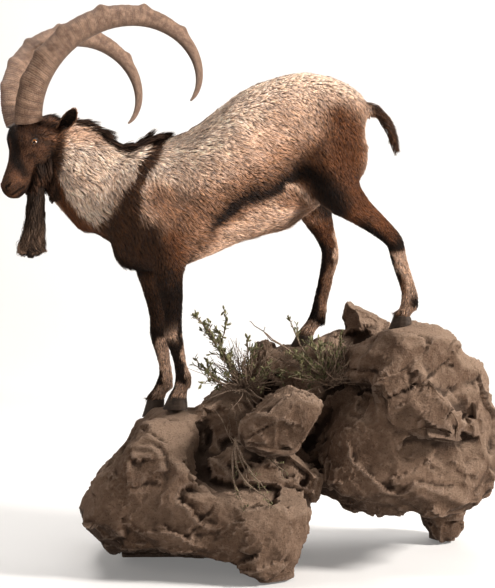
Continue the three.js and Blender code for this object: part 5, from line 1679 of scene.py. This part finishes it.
for side, name in ((1, "ear_left"), (-1, "ear_right")):
    ear, along, opening = ear_mesh(name, side)
    unwrapped(ear)
    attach(ear, "root")
    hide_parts(name)
    ear_hair(name + "_hair", ear, along, opening, 51 + side)

# Hooves
# Two claws of dark horn on each foot, worn smooth in front, with growth lines round them that
# run level with the coronet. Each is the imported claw, remeshed and rounded.

HOOF_VOXEL = 0.0024
hoof_horn = Finish("hoof_horn", Specular_IOR_Level=0.2)
hoof_place = hoof_horn.start.node("ShaderNodeSeparateXYZ", {}, {0: hoof_horn.start}, 2)
hoof_cloud = hoof_horn.noise(55, 4, 0.6)
hoof_lines = hoof_horn.start.node(
    "ShaderNodeMath", {"operation": "SINE"}, {0: hoof_place * 1500 + hoof_cloud * 5}
)
hoof_colour = hoof_cloud.between(0.3, 0.7).mixed((0.022, 0.014, 0.01), (0.06, 0.04, 0.028))
hoof_colour = (hoof_lines.between(0.2, 1.0) * 0.3).mixed(hoof_colour, (0.09, 0.062, 0.045))
hoof_horn.set(
    Base_Color=hoof_colour,
    Roughness=hoof_cloud * 0.3 + 0.45,
    Normal=hoof_horn.bump(hoof_lines * 0.5 + hoof_cloud, 0.5, 0.0012),
)
for name in HOOF_NODES:
    hoof = piece(name.replace("hoof_", "claw_"), *node_arrays(name, 0))
    evaluated(
        hoof,
        ("REMESH", {"mode": "VOXEL", "voxel_size": HOOF_VOXEL}),
        ("SMOOTH", {"factor": 0.5, "iterations": 5}),
    )
    hoof.data.polygons.foreach_set("use_smooth", np.ones(len(hoof.data.polygons), bool))
    hoof.data.materials.clear()
    hoof.data.materials.append(hoof_horn.material)
    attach(hoof, "root")
    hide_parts(name)

# Plants
# Low desert shrubs of cut branches planted in the seams of the rock: woody stems that fork into
# thin twigs, with small thick leaves in clusters, and a tangle of dry twigs at their feet.

SHRUBS = {
    "shrub_left": {
        "root": (-12, -62, 548),
        "tips": [(-157, -70, 772), (-62, -40, 752), (-104, -95, 700), (-166, -60, 620), (26, -90, 678)]
        + [(-125, -75, 735), (-60, -100, 640), (0, -60, 700), (-120, -110, 600), (50, -100, 610)],
        "bare": [],
        "leaves": (18, 7.5, 26),
        "tangle": 230,
        "seed": 4,
    },
    "shrub_middle": {
        "root": (258, -75, 568),
        "tips": [(126, -90, 766), (288, -60, 716), (222, -100, 680), (96, -110, 610), (330, -80, 640)]
        + [(180, -95, 640), (150, -120, 600), (215, -130, 620), (270, -110, 650), (190, -80, 700)]
        + [(120, -100, 660)],
        "bare": [[(163, -88, 640), (60, -86, 712), end] for end in ((6, -80, 755), (52, -88, 738))],
        "leaves": (14, 5.2, 40),
        "tangle": 150,
        "seed": 9,
    },
    "shrub_hanging": {
        "root": (-38, -168, 408),
        "tips": [(118, -312, 332), (48, -306, 290), (8, -284, 192), (70, -308, 250)],
        "bare": [[(-10, -230, 330), (10, -270, 270)]],
        "leaves": (10, 4.5, 12),
        "tangle": 8,
        "seed": 12,
    },
}
STEM_ROOT, STEM_TIP = 4.6, 1.3


def sweep(line, radii, sides=6):
    """A round stem along a line of points."""
    heading = unit(np.gradient(line, axis=0))
    away = np.where(np.abs(heading[:, 2:3]) > 0.9, [[1.0, 0, 0]], [[0, 0, 1.0]])
    side = unit(np.cross(heading, away))
    fore = np.cross(side, heading)
    angles = np.linspace(0, 2 * math.pi, sides, endpoint=False)
    rings = side[:, None] * np.cos(angles)[None, :, None] + fore[:, None] * np.sin(angles)[None, :, None]
    return loft(line[:, None] + rings * np.asarray(radii)[:, None, None])


def leaf(at, heading, up, long, wide):
    """A thick little leaf: a pointed oval, folded a little along its rib."""
    aside = unit(np.cross(heading, up))
    up = np.cross(aside, heading)
    rings = []
    for share, width in ((0.0, 0.12), (0.3, 0.85), (0.6, 1.0), (0.85, 0.6), (1.0, 0.06)):
        centre = at + heading * long * share + up * long * 0.12 * share * share
        half, thick = wide * width / 2, 0.9 * max(width, 0.3)
        ring = [centre + aside * half + up * 0.18 * half, centre + up * thick * 0.4]
        ring += [centre - aside * half + up * 0.18 * half, centre - up * thick * 0.6]
        rings.append(ring)
    return loft(rings)


def curved(points, count, rng, wobble):
    """A curve through some points, a little crooked."""
    line = smooth_rows(points, max(1, count // (len(points) - 1)))
    line[1:-1] += rng.normal(0, wobble, (len(line) - 2, 3))
    return line


def shrub_pieces(plan):
    """Lists of the wooden parts and of the leaves of one shrub, in millimetres."""
    rng = np.random.default_rng(plan["seed"])
    root = np.array(plan["root"], float)
    wood, leaves = [], []
    leaf_long, leaf_wide, leaf_count = plan["leaves"]

    def put_leaves(line, count, start):
        for share in np.linspace(start, 1, count):
            i = min(int(share * (len(line) - 1)), len(line) - 2)
            at = line[i] + (line[i + 1] - line[i]) * (share * (len(line) - 1) - i)
            run = unit(line[i + 1] - line[i])
            heading = unit(run * 0.75 + rng.normal(0, 0.62, 3) + [0, 0, 0.12])
            size = rng.uniform(0.65, 1.15)
            up = [0, 0, 1.0] + rng.normal(0, 0.4, 3)
            leaves.append(leaf(at, heading, up, leaf_long * size, leaf_wide * size))

    for tip in plan["tips"]:
        tip = np.array(tip, float)
        bow = rng.normal(0, 1, 3) * [16, 12, 10]
        line = curved([root, (root + tip) / 2 + bow, tip], 14, rng, 1.3)
        wood.append(sweep(line, np.linspace(STEM_ROOT, STEM_TIP, len(line))))
        put_leaves(line, leaf_count, 0.45)
        for share in rng.uniform(0.35, 0.95, 5):
            at = line[int(share * (len(line) - 1))]
            run = unit(tip - root)
            out = unit(run + rng.normal(0, 0.6, 3))
            end = at + out * rng.uniform(22, 52)
            twig = curved([at, (at + end) / 2 + rng.normal(0, 3, 3), end], 6, rng, 0.5)
            wood.append(sweep(twig, np.linspace(1.6, 0.8, len(twig)), 5))
            put_leaves(twig, leaf_count // 3, 0.3)
    for line in plan["bare"]:
        line = curved([root, *[np.array(p, float) for p in line]], 15, rng, 2.0)
        wood.append(sweep(line, np.linspace(3.2, 1.2, len(line))))
    for _ in range(plan["tangle"]):
        start = root + rng.normal(0, 1, 3) * [17, 12, 6]
        end = start + unit(rng.normal(0, 1, 3) * [0.8, 0.5, 0.5] + [0, -0.1, 0.75]) * rng.uniform(50, 160)
        line = curved([start, (start + end) / 2 + rng.normal(0, 9, 3), end], 8, rng, 1.0)
        wood.append(sweep(line, np.linspace(1.5, 0.6, len(line)), 5))
    return wood, leaves


def bark_finish():
    made = Finish("dry_bark", Roughness=0.9, Specular_IOR_Level=0.2)
    ridges = made.noise(300, 4, 0.7)
    colour = ridges.between(0.35, 0.65).mixed((0.09, 0.058, 0.04), (0.3, 0.215, 0.155))
    return made.set(Base_Color=colour, Normal=made.bump(ridges, 0.6, 0.001))


def leaf_finish():
    made = Finish("dull_leaf", Roughness=0.6, Specular_IOR_Level=0.3)
    cloud = made.noise(45, 3)
    spots = made.noise(500, 3)
    colour = cloud.between(0.35, 0.65).mixed((0.09, 0.088, 0.035), (0.24, 0.22, 0.105))
    colour = (spots.between(0.55, 0.72) * 0.5).mixed(colour, (0.24, 0.2, 0.11))
    return made.set(Base_Color=colour, Normal=made.bump(spots, 0.4, 0.0008))


BARK, LEAF = bark_finish(), leaf_finish()
for name, plan in SHRUBS.items():
    wood, leaves = shrub_pieces(plan)
    for part, material, lists in (("stems", BARK, wood), ("leaves", LEAF, leaves)):
        made = joined(f"{name}_{part}", [(points * MM, faces) for points, faces in lists])
        made.data.materials.append(material)
        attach(made, "root")
        if part == "stems":
            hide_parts(name)

# Floor, light and camera
# A plain pale studio sweep with soft lamps, seen from where the photograph was taken.

SWEEP = [(-3, 0), (2.2, 0), (3.4, 0.12), (4.4, 0.6), (5.0, 1.6), (5.2, 3), (5.2, 5)]  # Y and Z
sweep_line = smooth_rows(SWEEP, 8)
sweep_points = [(x, y, z) for y, z in sweep_line for x in (-7.0, 7.0)]
sweep_faces = [(i, i + 1, i + 3, i + 2) for i in range(0, len(sweep_points) - 2, 2)]
floor = piece("floor", sweep_points, sweep_faces)
pale = Finish("pale_floor", Roughness=0.95, Emission_Strength=0.16)
pale.shader.inputs["Base Color"].default_value = (0.68, 0.665, 0.65, 1)
pale.shader.inputs["Emission Color"].default_value = (1, 0.99, 0.975, 1)
floor.data.materials.append(pale.material)

# Each lamp's name, place, what it points at, power, size and colour.
LAMPS = [
    ("key", (4.0, -1.3, 2.5), (0, 0, 0.9), 390, 0.8, (1, 0.965, 0.925)),
    ("fill", (-2.6, -3.2, 2.4), (0, 0, 0.9), 26, 2.0, (1, 0.95, 0.9)),
    ("back", (-1.3, -0.4, 4.1), (0, 0, 0.9), 85, 1.4, (1, 0.97, 0.94)),
    ("backdrop", (0.0, 1.6, 4.2), (0, 4.6, 1.4), 150, 4.0, (1, 0.985, 0.97)),
]
for name, place, aim, power, size, colour in LAMPS:
    lamp = bpy.data.lights.new(name, "AREA")
    lamp.energy = power
    lamp.size = size
    lamp.color = colour
    holder = bpy.data.objects.new(name, lamp)
    holder.location = place
    holder.rotation_euler = (Vector(aim) - Vector(place)).to_track_quat("-Z", "Y").to_euler()
    bpy.context.scene.collection.objects.link(holder)

world = bpy.data.worlds.new("studio")
world.use_nodes = True
world.node_tree.nodes["Background"].inputs["Color"].default_value = (1.0, 0.98, 0.96, 1)
world.node_tree.nodes["Background"].inputs["Strength"].default_value = 0.11
bpy.context.scene.world = world
bpy.context.scene.view_settings.view_transform = "Standard"

CAMERA_AT, CAMERA_DROP, LENS_LONG = (0, -4.3, 1.2), 4.907, 85.24  # metres, degrees, millimetres
lens = bpy.data.cameras.new("camera")
lens.lens = LENS_LONG
lens.sensor_width = 36
camera = bpy.data.objects.new("camera", lens)
camera.location = CAMERA_AT
camera.rotation_euler = (math.radians(90 - CAMERA_DROP), 0, 0)
bpy.context.scene.collection.objects.link(camera)
bpy.context.scene.camera = camera
